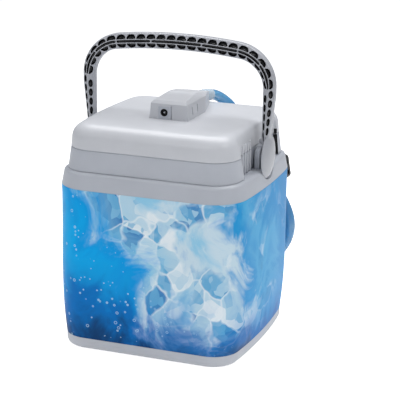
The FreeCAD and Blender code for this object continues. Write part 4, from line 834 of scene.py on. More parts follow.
def row(shell, outer, face):
    """One sloping face from end to end, with its pockets."""
    shift = 0 if outer > 0 else POCKET_STEPS // 2
    for start in range(-BEND_END, BEND_END, POCKET_STEPS):
        pocket(shell, slope_point, start, POCKET_STEPS, d_outline, D_DEPTH, outer, face)
    for side in (1, -1):
        def begin(first, steps):
            return first if side > 0 else -(first + steps)
        if shift:
            plain(shell, slope_point, begin(BEND_END, shift), shift, outer, face)
        for first in range(BEND_END + shift, ARM_END + shift, POCKET_STEPS):
            pocket(shell, slope_point, begin(first, POCKET_STEPS), POCKET_STEPS, egg_outline,
                   EGG_DEPTH, outer, face)
        foot = GRIP_END - ARM_END - shift
        plain(shell, slope_point, begin(ARM_END + shift, foot), foot, outer, face)


def side_profile(step):
    """The outline of a rounded side across the grip, front to rear: how far out, and y."""
    half, ridge = grip_at(step)[3:]
    front = [(half - EDGE_ROUND, edge_y(half, ridge)), (half - 0.3, 4.45), (half, 3.3), (half, 0.0)]
    return front + [(out, -y) for out, y in reversed(front[:-1])]


def grip():
    shell = Shell()
    for face in (-1, 1):
        for outer in (1, -1):
            row(shell, outer, face)
        for start, steps in SLOTS:
            pocket(shell, ridge_point, start, steps, slot_outline, SLOT_DEPTH, 1, face, SLOT_SWELL)
        for start in (-GRIP_END, BEND_END):
            plain(shell, ridge_point, start, GRIP_END - BEND_END, 1, face)
    profiles = [side_profile(step) for step in GRIP_STEPS]
    for outer in (1, -1):
        shell.strip([[grip_point(step, outer * out, y) for step, (out, y) in zip(GRIP_STEPS, line)]
                     for line in zip(*profiles)])
    for end in (-GRIP_END, GRIP_END):
        ridge = grip_at(end)[4]
        right = [(ridge, FRONT)] + side_profile(end) + [(ridge, -FRONT)]
        outline = right + [(-out, y) for out, y in reversed(right)]
        shell.add([grip_point(end, out, y) for out, y in outline], [tuple(range(len(outline)))])
    return shell


bail = grip()
print("dark faces in the grip:", sum(bail.dark), "of", len(bail.dark))

# %% [markdown]
# ## Discs and nubs
# Each arm ends in a round cheek on the pivot, with a face that swells outwards, and a small
# nub above it that stops the handle. Both are turned forms. Blender's Screw modifier could spin
# them; a short function spins a profile of x and radius pairs, as on a lathe, and its points
# can join the grip's own.

# %% Discs and nubs
DISC_RADIUS, DISC_INNER, DISC_RIM, DISC_OUTER, DISC_SWELL = 25.0, 109.3, 110.2, 114.3, 2.4
NUB_HEIGHT = PIVOT_HEIGHT + 17.0
NUB_PROFILE = [(99.0, 0), (99.1, 1.2), (99.5, 2.2), (100.3, 2.85), (101.3, 3.0), (108.0, 3.0),
               (108.0, 0)]
DISC_SIDES, NUB_SIDES = 64, 24


def lathe(profile, side, height, steps):
    """A turned form about a line along X at a height, from axis to axis."""
    loops = [[(side * x, radius * math.cos(t), height + radius * math.sin(t))
              for t in round_turns(steps)] for x, radius in profile[1:-1]]
    points, faces = skin(loops)
    for (x, _), first in ((profile[0], 0), (profile[-1], (len(loops) - 1) * steps)):
        points.append((side * x, 0.0, height))
        faces += [(first + k, first + (k + 1) % steps, len(points) - 1) for k in range(steps)]
    return points, faces


disc_profile = [(DISC_INNER, 0), (DISC_INNER, 12), (DISC_INNER, 24.5), (DISC_INNER + 0.25, 24.9),
                (DISC_RIM - 0.2, DISC_RADIUS)]
for reach in np.linspace(24.8, 1.5, 14):
    fall = (DISC_OUTER - DISC_RIM) * (reach / DISC_RADIUS) ** DISC_SWELL
    disc_profile.append((DISC_OUTER - fall, reach))
disc_profile.append((DISC_OUTER, 0))
for side in (1, -1):
    bail.add(*lathe(disc_profile, side, PIVOT_HEIGHT, DISC_SIDES))
    bail.add(*lathe(NUB_PROFILE, side, NUB_HEIGHT, NUB_SIDES))
# The marked faces get the second finish, black rubber, as painted shade in the pockets.
handle = piece("bail_handle", (bail.points, bail.faces), "handle", "grey_plastic",
               ["handle_frame"], 42, finishes=[int(dark) for dark in bail.dark])

# %% [markdown]
# ## The printed wall
# The cooler's wall is a shell under a printed plastic film. It widens a little on its way up.
# A loft through a few outlines would do; here the plan is known at four heights, and each ring
# takes its plan from a smooth curve through them.

# %% Printed wall
BASE_TOP = 15.2
LEVELS = np.array([[BASE_TOP, 108.4, 103.9, 31.0], [52.8, 111.6, 106.9, 34.0],
                   [99.8, 113.0, 108.2, 37.0], [RIM_HEIGHT, 113.3, 108.9, 40.0]])
FILM_WALL, SHELL_WALL, WALL_RINGS = 0.4, 3.0, 40


def wall_plan(z):
    """Half width, half depth and corner at a height, on a smooth curve through the levels."""
    heights = LEVELS[:, 0]
    weights = [np.prod([(z - other) / (own - other) for other in heights if other != own])
               for own in heights]
    return tuple(np.dot(weights, LEVELS[:, 1:]))


def wall(outer, inner):
    heights = np.linspace(BASE_TOP, RIM_HEIGHT, WALL_RINGS)
    rings = [plain_ring(wall_plan(z), z, outer) for z in heights]
    rings += [plain_ring(wall_plan(z), z, inner) for z in reversed(heights)]
    return skin(rings, closed=True)


piece("printed_skin", wall(0.0, FILM_WALL), "cooler", "printed_film", ["printed_wrap"])
piece("shell_wall", wall(FILM_WALL, SHELL_WALL), "cooler", "white_plastic", ["outer_shell"])

# %% [markdown]
# ## The base tray
# A light grey tray closes the bottom. Its lower edge is a round bend of 7 mm, and the inside is
# hollow for the foam. A bevelled box would miss the bowed sides. Rings of the plan itself meet
# the wall all the way round.

# %% Base tray
TRAY_LOW, TRAY_ROUND, TRAY_FLOOR, TRAY_MIDDLE = 1.0, 7.0, 4.0, 40.0
SPIGOT = 12.0

tray_marks = [(TRAY_LOW, TRAY_MIDDLE), (TRAY_LOW, 20.0), (TRAY_LOW, TRAY_ROUND + 2.0)]
for turn in np.linspace(0, math.pi / 2, 9):
    tray_marks.append((TRAY_LOW + TRAY_ROUND * (1 - math.cos(turn)),
                       TRAY_ROUND * (1 - math.sin(turn))))
tray_marks += [(TRAY_LOW + TRAY_ROUND + 2.0, 0.0), (BASE_TOP - 0.7, 0.0), (BASE_TOP - 0.2, 0.12),
               (BASE_TOP, 0.45), (BASE_TOP, SHELL_WALL), (BASE_TOP + SPIGOT, SHELL_WALL),
               (BASE_TOP + SPIGOT, 2 * SHELL_WALL), (TRAY_FLOOR, 2 * SHELL_WALL),
               (TRAY_FLOOR, TRAY_MIDDLE)]
tray = capped([plain_ring(LEVELS[0, 1:], z, inset) for z, inset in tray_marks])
piece("base_tray", tray, "cooler", "light_grey_plastic", ["base_pan"], 35)

# %% [markdown]
# ## The pump housing's form
# The low housing on the lid covers the socket, the board and the tubes. It is faceted, with
# soft edges. It could be modelled face by face; here a block is cut by planes until only the
# housing's form is left, and the planes come straight from its three views.

# %% Housing form
COVER_HALF, COVER_FRONT, COVER_REAR, COVER_WALL, COVER_ROUND = 23.5, -28.0, 66.0, 2.2, 2.0
# Points of the side view (y, rise), the front view (x, rise) and the top view (x, y).
SIDE_VIEW = [(COVER_FRONT, 0.0), (COVER_FRONT, 17.6), (-25.0, 21.0), (20.0, 24.5), (42.0, 20.5),
             (COVER_REAR, 17.2), (COVER_REAR, 0.0)]
FRONT_VIEW = [(COVER_HALF, 0.0), (21.7, 18.0), (15.5, 25.5)]
TOP_VIEW = [(COVER_HALF, 26.0), (12.5, 71.0)]
STOCK_LOW, STOCK_HIGH = Vector((-40, -40, CROWN_HEIGHT)), Vector((40, 80, CROWN_HEIGHT + 40))


def cover_planes():
    """A point and an outward direction for each face of the housing."""
    planes = []
    for (y, rise), (next_y, next_rise) in zip(SIDE_VIEW, SIDE_VIEW[1:]):
        planes.append(((0, y, CROWN_HEIGHT + rise), (0, rise - next_rise, next_y - y)))
    for sign in (1, -1):
        for (x, rise), (next_x, next_rise) in zip(FRONT_VIEW, FRONT_VIEW[1:]):
            planes.append(((sign * x, 0, CROWN_HEIGHT + rise),
                           (sign * (next_rise - rise), 0, x - next_x)))
        (x, y), (next_x, next_y) = TOP_VIEW
        planes.append(((sign * x, y, CROWN_HEIGHT), (sign * (next_y - y), x - next_x, 0)))
    return [(Vector(point), Vector(normal).normalized()) for point, normal in planes]


def cut_block(low, high, planes=(), inset=0.0):
    """A box from low to high, cut by planes that are moved inwards."""
    form = bmesh.new()
    bmesh.ops.create_cube(form, size=1.0)
    for vertex in form.verts:
        vertex.co = Vector([a + (b - a) * (c + 0.5) for a, b, c in zip(low, high, vertex.co)])
    for point, normal in planes:
        everything = list(form.verts) + list(form.edges) + list(form.faces)
        cut = bmesh.ops.bisect_plane(form, geom=everything, plane_co=point - normal * inset,
                                     plane_no=normal, clear_outer=True)
        rim = [part for part in cut["geom_cut"] if isinstance(part, bmesh.types.BMEdge)]
        bmesh.ops.contextual_create(form, geom=rim)
    bmesh.ops.recalc_face_normals(form, faces=form.faces)
    return form


outer_form = cut_block(STOCK_LOW, STOCK_HIGH, cover_planes())
edges = [edge for edge in outer_form.edges
         if max(vertex.co.z for vertex in edge.verts) > CROWN_HEIGHT + 0.1]
bmesh.ops.bevel(outer_form, geom=edges, offset=COVER_ROUND, segments=5, profile=0.5, affect="EDGES",
                clamp_overlap=True)
print("faces of the housing's form:", len(outer_form.faces))

# %% [markdown]
# ## Tools for cutting
# The real housing is moulded with its openings. In Blender they could be drawn into the faces
# by hand. A few cuts with clean corners suit the boolean modifier better: each cutter is a form
# of its own, is taken out of the housing and is then deleted.

# %% Tools for cutting
BORE_SIDES = 48


def to_object(name, form):
    """A plain object from a form in millimetres, for use as a piece or as a cutter."""
    for vertex in form.verts:
        vertex.co *= MM
    mesh = bpy.data.meshes.new(name)
    form.to_mesh(mesh)
    form.free()
    thing = bpy.data.objects.new(name, mesh)
    scene.collection.objects.link(thing)
    return thing


def carve(thing, cutters):
    """Take the cutters out of a thing, one after the other, and delete them."""
    for cutter in cutters:
        change = thing.modifiers.new("carve", "BOOLEAN")
        change.operation, change.solver, change.object = "DIFFERENCE", "EXACT", cutter
    carved = thing.evaluated_get(bpy.context.evaluated_depsgraph_get())
    shape = bpy.data.meshes.new_from_object(carved)
    thing.modifiers.clear()
    thing.data = shape
    for cutter in cutters:
        bpy.data.objects.remove(cutter)


def bore(radius, x, z, start, end):
    """A round cutter as a form, along Y from start to end."""
    loops = [[(x + radius * math.cos(t), y, z + radius * math.sin(t))
              for t in round_turns(BORE_SIDES)] for y in (start, end)]
    points, faces = capped(loops)
    form = bmesh.new()
    corners = [form.verts.new(point) for point in points]
    for face in faces:
        form.faces.new([corners[k] for k in face])
    bmesh.ops.recalc_face_normals(form, faces=form.faces)
    return form


print("sides of a bore:", BORE_SIDES)

# %% [markdown]
# ## Cutting the housing
# A smaller block of the same form is taken out, which leaves a wall of 2.2 mm. Two slits in
# each side let the electronics breathe. In the front, a flat seat takes the panel of the power
# socket, and a narrow groove runs beside it. All of them could be one joined cutter; a list of
# boxes and bars is easier to read and to change.

# %% Housing details
EXIT_HEIGHT, EXIT_BORE = CROWN_HEIGHT + 7.9, 7.2
JACK_X, JACK_HEIGHT, JACK_BORE = -5.5, CROWN_HEIGHT + 7.7, 4.3
PANEL_LEFT, PANEL_RIGHT, PANEL_RISE, PANEL_WALL = -12.5, 2.6, 14.5, 1.2
GROOVE = 1.3
SLIT_PLACES, SLIT_WIDTH, SLIT_LOW, SLIT_HIGH = (-12.5, 4.0), 1.9, 4.5, 14.0

forms = [cut_block(STOCK_LOW - Vector((0, 0, 5)), STOCK_HIGH, cover_planes(), COVER_WALL)]
for sign in (1, -1):
    near, far = sorted((sign * (COVER_HALF - 5.0), sign * (COVER_HALF + 1.0)))
    forms += [cut_block((near, y - SLIT_WIDTH / 2, CROWN_HEIGHT + SLIT_LOW),
                        (far, y + SLIT_WIDTH / 2, CROWN_HEIGHT + SLIT_HIGH)) for y in SLIT_PLACES]
for left, right, rise in ((PANEL_LEFT, PANEL_RIGHT, PANEL_RISE),
                          (PANEL_RIGHT - 0.1, PANEL_RIGHT + GROOVE, PANEL_RISE + 1)):
    forms.append(cut_block((left, COVER_FRONT - 1, CROWN_HEIGHT - 1),
                           (right, COVER_FRONT + PANEL_WALL, CROWN_HEIGHT + rise)))
forms.append(bore(JACK_BORE, JACK_X, JACK_HEIGHT, COVER_FRONT - 1, COVER_FRONT + 8))
forms.append(bore(EXIT_BORE, 0.0, EXIT_HEIGHT, COVER_REAR - 5, COVER_REAR + 1))

housing = to_object("pump_housing", outer_form)
carve(housing, [to_object("cutter", form) for form in forms])
crease(housing, 30)
enlist(housing, "lid", "light_grey_plastic", ["pump_cover"])

# %% [markdown]
# ## The hose boot
# A pale, half-clear boot guides the hose out of the housing and keeps it from kinking. It
# follows the start of the hose, so a straight tube wouldn't fit: its rings stand across the
# hose's own line, wide at the root and slim at the tip, with a few soft ripples.

# %% Hose boot
BOOT_START, BOOT_LENGTH, BOOT_WIDE, BOOT_SLIM, BOOT_BORE = 66.2, 26.0, 7.7, 6.75, 6.1
RIPPLE, RIPPLE_PITCH, RIPPLE_START, TIP_SOFT = 0.22, 5.2, 0.3, 0.4
BOOT_RINGS, BOOT_SIDES = 53, 40


def boot():
    """Rings across the hose's line: up the outside, and back down just outside the hose."""
    line = [Vector((0.0, BOOT_START, EXIT_HEIGHT))] + [spot / MM for spot in hose_line]
    runs = [0.0]
    for before, after in zip(line, line[1:]):
        runs.append(runs[-1] + (after - before).length)
    outside, inside = [], []
    for reach in np.linspace(0.0, BOOT_LENGTH, BOOT_RINGS):
        share = reach / BOOT_LENGTH
        index = max(k for k, run in enumerate(runs[:-1]) if run <= reach)
        past = (reach - runs[index]) / (runs[index + 1] - runs[index])
        spot = line[index].lerp(line[index + 1], past)
        ahead = (line[index + 1] - line[index]).normalized()
        aside = ahead.cross(Vector((0, 0, 1))).normalized()
        over = aside.cross(ahead)
        ripple = RIPPLE * math.sin(reach * 2 * math.pi / RIPPLE_PITCH) * (share > RIPPLE_START)
        radius = BOOT_WIDE + (BOOT_SLIM - BOOT_WIDE) * share + ripple
        radius -= 0.5 * (reach > BOOT_LENGTH - TIP_SOFT)
        for loop, size in ((outside, radius), (inside, BOOT_BORE)):
            loop.append([spot + (aside * math.cos(t) + over * math.sin(t)) * size
                         for t in round_turns(BOOT_SIDES)])
    return skin(outside + list(reversed(inside)), closed=True)


piece("hose_boot", boot(), "lid", "white_gloss", ["hose_sleeve"])

# %% [markdown]
# ## The strap
# A strap of black woven tape goes round the top of the coil and the end of the hose, and keeps
# both behind the cooler. A cloth simulation would drape it, but tape this short holds its form.
# So it is a soft loop, and its free end is pressed on from outside, where it is double.

# %% Strap
STRAP_LEFT, STRAP_WIDTH, STRAP_WALL, STRAP_EDGE = -20.0, 25.0, 1.6, 0.35
# Corners of the strap's outer line, y and z, anticlockwise seen from the right.
STRAP_LINE = [(110.3, 137.1), (123.8, 137.1), (141.7, 139.1), (147.0, 163.8), (147.0, 172.5),
              (131.8, 172.5), (110.3, 167.5)]
STRAP_TURN, STRAP_STEP, TAPE_DOUBLE, DOUBLE_START = 4.5, 1.2, 0.9, 13.0


def soft_loop(corners, turn):
    """A closed line whose corners are rounded, as evenly spaced points."""
    line = []
    for index, corner in enumerate(corners):
        corner = Vector(corner)
        before, after = Vector(corners[index - 1]), Vector(corners[(index + 1) % len(corners)])
        reach = min(turn, (corner - before).length / 2, (after - corner).length / 2)
        start = corner.lerp(before, reach / (corner - before).length)
        end = corner.lerp(after, reach / (after - corner).length)
        line += [start.lerp(corner, t).lerp(corner.lerp(end, t), t) for t in np.linspace(0, 1, 9)]
    fine = []
    for a, b in zip(line, line[1:] + line[:1]):
        pieces = max(1, round((b - a).length / STRAP_STEP))
        fine += [a.lerp(b, k / pieces) for k in range(pieces)]
    return fine


def strap():
    """Rings of the loop from the left edge to the right edge outside, and back inside."""
    line = soft_loop(STRAP_LINE, STRAP_TURN)
    count = len(line)
    outward = []
    for index in range(count):
        ahead = (line[(index + 1) % count] - line[index - 1]).normalized()
        outward.append(Vector((ahead.y, -ahead.x)))
    rear, low = max(point.x for point in line), min(point.y for point in line)
    doubled = [point.x > rear - 1.0 and point.y > low + DOUBLE_START for point in line]
    right, inner = STRAP_WIDTH - STRAP_EDGE, STRAP_WALL - STRAP_EDGE
    rings = []
    for x, inset in ((0.0, STRAP_EDGE), (STRAP_EDGE, 0.0), (STRAP_WIDTH / 2, -0.1), (right, 0.0),
                     (STRAP_WIDTH, STRAP_EDGE), (STRAP_WIDTH, inner), (right, STRAP_WALL),
                     (STRAP_EDGE, STRAP_WALL), (0.0, inner)):
        ring = []
        for point, out, double in zip(line, outward, doubled):
            spot = point + out * (TAPE_DOUBLE * (double and inset < 0.5) - inset)
            ring.append((STRAP_LEFT + x, spot.x, spot.y))
        rings.append(ring)
    return skin(rings, closed=True)


piece("strap_tape", strap(), "lid", "black_fabric", ["hose_strap"])

# %% [markdown]
# ## Soft edges on the small parts
# Moulded parts have no knife edges. The coupling, its button, the socket's panel and the feet
# keep their solids. Their shapes are right already, so a narrow bevel modifier is enough.

# %% Soft edges
EDGE_WIDTHS = {"coupling_body": 0.9, "coupling_button": 0.4, "jack_panel": 0.25, "base_feet": 0.5}
for name, width in EDGE_WIDTHS.items():
    soft = bpy.data.objects[name].modifiers.new("soft edge", "BEVEL")
    soft.width, soft.segments = width * MM, 3
    soft.limit_method, soft.angle_limit = "ANGLE", math.radians(40)
print("soft edges:", EDGE_WIDTHS)

# %% [markdown]
# # Finishes
# Real plastic is never one colour: it has faint clouds and a fine grain. Pictures wrapped on
# the parts would need flat maps of them. A small tree of nodes fits any shape, so each finish
# is one. First come two helpers, for colours and for nodes.

# %% Colours and nodes
def colour(red, green, blue):
    """A display colour, 0 to 255, as the linear numbers that shaders use."""
    shares = [part / 255 for part in (red, green, blue)]
    linear = [s / 12.92 if s <= 0.04045 else ((s + 0.055) / 1.055) ** 2.4 for s in shares]
    return (*linear, 1.0)


def add_node(tree, kind, inputs=(), **settings):
    """A shader node. An input is linked if it is another node's output, and set otherwise."""
    node = tree.nodes.new("ShaderNode" + kind)
    for key, setting in settings.items():
        setattr(node, key, setting)
    for socket, source in dict(inputs).items():
        if isinstance(source, bpy.types.NodeSocket):
            tree.links.new(source, node.inputs[socket])
        else:
            node.inputs[socket].default_value = source
    return node


print("mid grey as a linear number: %.3f" % colour(128, 128, 128)[0])

# %% [markdown]
# ## Building a finish
# A finish starts from Blender's Principled shader, and its patterns are measured in the part's
# own space. The nodes could be placed and linked one by one in the editor. Here each method
# adds one pattern or one sum and gives back its output, so a finish reads like a recipe.

# %% Building a finish
class Finish:
    """A material under construction. Its methods add nodes and return an output."""

    def __init__(self, name, **numbers):
        self.material = bpy.data.materials.new(name)
        self.material.use_nodes = True
        self.tree = self.material.node_tree
        self.shader = self.tree.nodes["Principled BSDF"]
        for socket, number in numbers.items():
            self.shader.inputs[socket.replace("_", " ")].default_value = number
        self.place = self.add("TexCoord").outputs["Object"]

    def add(self, kind, inputs=(), **settings):
        return add_node(self.tree, kind, inputs, **settings)

    def set(self, socket, source):
        self.tree.links.new(source, self.shader.inputs[socket])

    def noise(self, scale, detail=3.0, rough=0.5, bend=0.0, output="Fac"):
        return self.add("TexNoise", {"Vector": self.place, "Scale": scale, "Detail": detail,
                                     "Roughness": rough, "Distortion": bend}).outputs[output]

    def wave(self, scale, bend, **settings):
        return self.add("TexWave", {"Vector": self.place, "Scale": scale, "Distortion": bend},
                        **settings).outputs["Fac"]

    def cells(self, scale, feature="F1", place=None):
        return self.add("TexVoronoi", {"Vector": place or self.place, "Scale": scale},
                        feature=feature).outputs["Distance"]

    def cell_number(self, scale, channel, place=None):
        """A chance number for each cell."""
        cells = self.add("TexVoronoi", {"Vector": place or self.place, "Scale": scale})
        return self.add("SeparateColor", {"Color": cells.outputs["Color"]}).outputs[channel]

    def ramp(self, factor, stops):
        """A colour for each stop of a factor, with gentle passages between them."""
        node = self.add("ValToRGB", {"Fac": factor})
        node.color_ramp.interpolation = "EASE"
        marks = node.color_ramp.elements
        while len(marks) < len(stops):
            marks.new(0.5)
        for mark, (spot, tone) in zip(marks, stops):
            mark.position, mark.color = spot, colour(*tone)
        return node.outputs["Color"]

    def spread(self, factor, low, high, start=0.0, end=1.0):
        """A factor from start to end, as a number from low to high."""
        return self.add("MapRange", {"Value": factor, "From Min": start, "From Max": end,
                                     "To Min": low, "To Max": high}).outputs["Result"]

    def sum(self, first, second, kind="ADD"):
        return self.add("Math", {0: first, 1: second}, operation=kind).outputs[0]

    def product(self, *factors):
        result = factors[0]
        for factor in factors[1:]:
            result = self.sum(result, factor, "MULTIPLY")
        return result

    def mix(self, factor, under, over):
        return self.add("Mix", {0: factor, 6: under, 7: over}, data_type="RGBA").outputs[2]

    def grain(self, height, depth):
        bump = self.add("Bump", {"Height": height, "Distance": depth})
        self.set("Normal", bump.outputs["Normal"])


print("steps of a recipe:", [name for name in vars(Finish) if not name.startswith("_")])

# %% [markdown]
# ## Plastics, rubber, foam and metal
# The lid's top, the housing and the tray share a light cool grey; the collar and the lid's band
# are a little darker, partly as their own grey and partly as painted shade on these lower parts,
# and the grip darker still. Each could be one flat colour, but then the parts look like paper.
# A faint cloud and a varied gloss make them read as moulded.

# %% Plain finishes
def moulded(name, tone, rough, cloud, grain=900.0, depth=0.00001, **numbers):
    """Plastic, rubber or foam: faint clouds in its colour and gloss, and a fine grain."""
    finish = Finish(name, **numbers)
    darker, lighter = ([min(255, max(0, part + sign * cloud)) for part in tone] for sign in (-1, 1))
    finish.set("Base Color", finish.ramp(finish.noise(28.0), [(0.3, darker), (0.7, lighter)]))
    finish.set("Roughness", finish.spread(finish.noise(160.0), rough - 0.03, rough + 0.03))
    finish.grain(finish.noise(grain, 2.0), depth)
    return finish.material


def metal():
    """Steel with fine bands of scratches."""
    finish = Finish("steel", Metallic=1.0)
    bands = finish.wave(900.0, 2.0)
    finish.set("Base Color", finish.ramp(bands, [(0.0, (168, 170, 174)), (1.0, (206, 208, 212))]))
    finish.set("Roughness", finish.spread(bands, 0.2, 0.34))
    return finish.material


def tape():
    """Black woven tape: two waves across each other make the weave."""
    finish = Finish("woven tape", Roughness=0.8, Sheen_Weight=0.3)
    weave = finish.product(*[finish.wave(260.0, 0.4, bands_direction=way) for way in ("X", "Z")])
    finish.set("Base Color", finish.ramp(weave, [(0.0, (10, 10, 12)), (1.0, (44, 44, 48))]))
    finish.grain(weave, 0.0004)
    return finish.material


finishes = {
    "light_grey_plastic": moulded("light grey plastic", (204, 206, 211), 0.33, 2, depth=0.000002),
    # The darker grey of the collar and the lid's band is partly their own colour, partly painted
    # shade.
    "grey_plastic": moulded("grey plastic", (188, 192, 200), 0.31, 2, depth=0.000002),
    "grip_plastic": moulded("grip plastic", (172, 174, 180), 0.24, 2, depth=0.000002),
    "white_plastic": moulded("white plastic", (228, 230, 232), 0.35, 2),
    "black_plastic": moulded("black plastic", (12, 12, 14), 0.4, 3, Specular_IOR_Level=0.3),
    "black_gloss": moulded("glossy black plastic", (12, 12, 14), 0.14, 3),
    "grey_rubber": moulded("grey rubber", (120, 122, 126), 0.6, 6, 700.0, 0.00008),
    # Black rubber also serves as painted shade: in the grip's pockets and at the rear of the lid's
    # notches.
    "black_rubber": moulded("black rubber", (7, 7, 9), 0.14, 3, 500.0, 0.00002),
    "white_foam": moulded("white foam", (236, 236, 232), 0.85, 6, 240.0, 0.0004),
    "black_foam": moulded("black foam", (34, 34, 36), 0.9, 6, 300.0, 0.0004),
    "green_board": moulded("circuit board", (28, 92, 52), 0.4, 10, 300.0, 0.00005),
    "white_gloss": moulded("half-clear boot", (214, 230, 242), 0.12, 4, Transmission_Weight=0.25,
                           IOR=1.4),
    "clear_tube": moulded("clear tube", (236, 240, 242), 0.08, 4, Transmission_Weight=0.85,
                          IOR=1.42),
    "steel": metal(),
    "black_fabric": tape(),
}
print("plain finishes:", len(finishes))

# %% [markdown]
# ## The blue sheath
# The hose's sheath is soft, glossy vinyl over two water tubes. Plain blue plastic would look
# like a rod. Some light goes into the vinyl, and a clear coat gives it a sharp glint on top.

# %% Hose finish
def vinyl():
    finish = Finish("blue vinyl", Roughness=0.16, Coat_Weight=1.0, Coat_Roughness=0.04, IOR=1.4,
                    Transmission_Weight=0.35)
    clouds = finish.noise(36.0, 4.0, bend=0.4)
    finish.set("Base Color", finish.ramp(clouds, [(0.3, (84, 160, 214)), (0.5, (104, 176, 224)),
                                                  (0.75, (124, 190, 230))]))
    finish.grain(finish.noise(90.0, 2.0), 0.0002)
    return finish.material


finishes["blue_hose"] = vinyl()
print("hose finish:", finishes["blue_hose"].name)

# %% [markdown]
# ## The frozen scene
# The film round the wall is printed with a frozen scene in blues. A picture could be wrapped on
# it, but it would need a flat map and would show a seam. This print is made only of patterns: a
# slanting wash of colour, ice crystals from cells, and frost from the cells' borders.

# %% The frozen scene
CRYSTALS, CHIPS = 30.0, 85.0


def frost_scene(finish):
    """The wash, the deep water and the crystals. Returns the colour, and how far along it is."""
    # The print runs round the corners: its length is measured along X and Y together.
    parts = finish.add("SeparateXYZ", {"Vector": finish.place}).outputs
    along = finish.spread(finish.sum(parts["X"], parts["Y"]), 0.0, 1.0, -0.22, 0.22)
    rise = finish.spread(parts["Z"], 0.0, 1.0, 0.015, 0.19)
    drift = finish.spread(finish.noise(11.0, 5.0, 0.6, bend=1.2), -0.16, 0.16, 0.3, 0.7)
    sweep = finish.sum(finish.sum(along, finish.spread(rise, -0.1, 0.1)), drift)
    wash = finish.ramp(sweep, [(0.06, (0, 176, 242)), (0.2, (0, 158, 232)),
                               (0.33, (150, 208, 236)), (0.46, (206, 228, 240)),
                               (0.58, (40, 156, 220)), (0.7, (74, 176, 226)),
                               (0.84, (0, 150, 216)), (1.0, (0, 142, 210))])
    # Deep water at the foot, darkest at the left.
    foot = finish.sum(rise, drift)
    depth = finish.sum(foot, finish.spread(along, 0.0, 0.34))
    deep = finish.ramp(depth, [(0.06, (14, 52, 104)), (0.26, (0, 112, 192)), (0.44, (8, 146, 218))])
    wash = finish.mix(finish.spread(depth, 0.95, 0.0, 0.28, 0.62), wash, deep)
    # Crystals: each cell has its own tone, pales towards its border, and is cut by finer cells.
    push = finish.add("VectorMath", {0: finish.noise(26.0, 2.0, output="Color"), "Scale": 0.035},
                      operation="SCALE").outputs[0]
    bent = finish.add("VectorMath", {0: finish.place, 1: push}, operation="ADD").outputs[0]
    tone = finish.sum(finish.product(finish.cell_number(CRYSTALS, 0, bent), 0.65),
                      finish.product(finish.cell_number(CHIPS, 0, bent), 0.35))
    facets = finish.ramp(tone, [(0.15, (20, 118, 190)), (0.36, (92, 172, 218)),
                                (0.58, (184, 218, 236)), (0.85, (238, 246, 250))])
    frost = finish.spread(finish.cells(CRYSTALS, "DISTANCE_TO_EDGE", bent), 0.8, 0.0, 0.0, 0.05)
    facets = finish.mix(frost, facets, colour(242, 249, 252))
    patches = finish.noise(12.0, 4.0, 0.6, bend=0.6)
    patch = finish.product(finish.spread(patches, 0.0, 0.9, 0.47, 0.56),
                           finish.spread(sweep, 0.0, 1.0, 0.16, 0.4),
                           finish.spread(sweep, 1.0, 0.25, 0.5, 0.8),
                           finish.spread(foot, 0.1, 1.0, 0.08, 0.3))
    return finish.mix(patch, wash, facets), sweep


print("crystals are about %.0f mm across" % (1000 / CRYSTALS))

# %% [markdown]
# ## The printed film
# Fine air bubbles lie over the scene where the water is blue. They could be little discs
# scattered on the wall, but they are only ink, so they are one more pattern: the middle of each
# small cell, with a pale rim, and only in the cells that chance picks. The film itself is
# smooth plastic with a soft gloss.

# %% Printed film
BUBBLES = 170.0


def print_film():
    finish = Finish("printed film", Roughness=0.34, Specular_IOR_Level=0.1)
    film, sweep = frost_scene(finish)
    # Bubbles: small rounds with a pale rim, in the blue part of the print.
    lucky = finish.cell_number(BUBBLES, 1)
    size = finish.product(finish.spread(lucky, 0.0, 1.0, 0.7, 1.0), 0.2)
    ring = finish.ramp(finish.sum(finish.cells(BUBBLES), size, "SUBTRACT"),
                       [(0.0, (60, 60, 60)), (0.08, (235, 235, 235)), (0.13, (235, 235, 235)),
                        (0.18, (0, 0, 0))])
    bubbles = finish.product(ring, finish.spread(lucky, 0.0, 0.75, 0.68, 0.74),
                             finish.spread(sweep, 1.0, 0.0, 0.22, 0.42))
    finish.set("Base Color", finish.mix(bubbles, film, colour(198, 232, 248)))
    finish.grain(finish.noise(600.0, 2.0), 0.00002)
    return finish.material


finishes["printed_film"] = print_film()
print("nodes in the print:", len(finishes["printed_film"].node_tree.nodes))

# %% [markdown]
# ## Giving out the finishes
# Each solid has a slot name, and each piece made here has one too. The grip has two finishes:
# plastic outside, and black rubber in its pockets as painted shade. The lid has a black face at
# the rear end of each notch, painted shade where the notch lies deep in shade. Faces can share a
# mesh and still have their own material, so no part is split.

# %% Give out the finishes
# The box round the painted shade, a black face at the rear end of a notch: from the middle out, y
# and z.
PAINTED_SHADE_LOW, PAINTED_SHADE_HIGH = (95.5, 56, 212), (104, 72, 240)

for solid in frame["nodes"].values():
    for index, slot in enumerate(solid.data.materials):
        solid.data.materials[index] = finishes[slot.name]
hose.data.materials.append(finishes["blue_hose"])
# The grip's second finish, black rubber, paints the shade in its pockets.
for name in ("grip_plastic", "black_rubber"):
    handle.data.materials.append(finishes[name])
for thing in scene.objects:
    if thing.type == "MESH" and not thing.data.materials:
        thing.data.materials.append(finishes[thing["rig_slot"]])
for name in ("lid_band", "lid_top"):
    lid_piece = bpy.data.objects[name]
    lid_piece.data.materials.append(finishes["black_rubber"])
    for face in lid_piece.data.polygons:
        x, y, z = face.center / MM
        limits = zip(PAINTED_SHADE_LOW, (abs(x), y, z), PAINTED_SHADE_HIGH)
        # Faces in the box that look forwards are painted black, as the shade deep in the notch.
        if face.normal.y < -0.5 and all(low < value < high for low, value, high in limits):
            face.material_index = 1

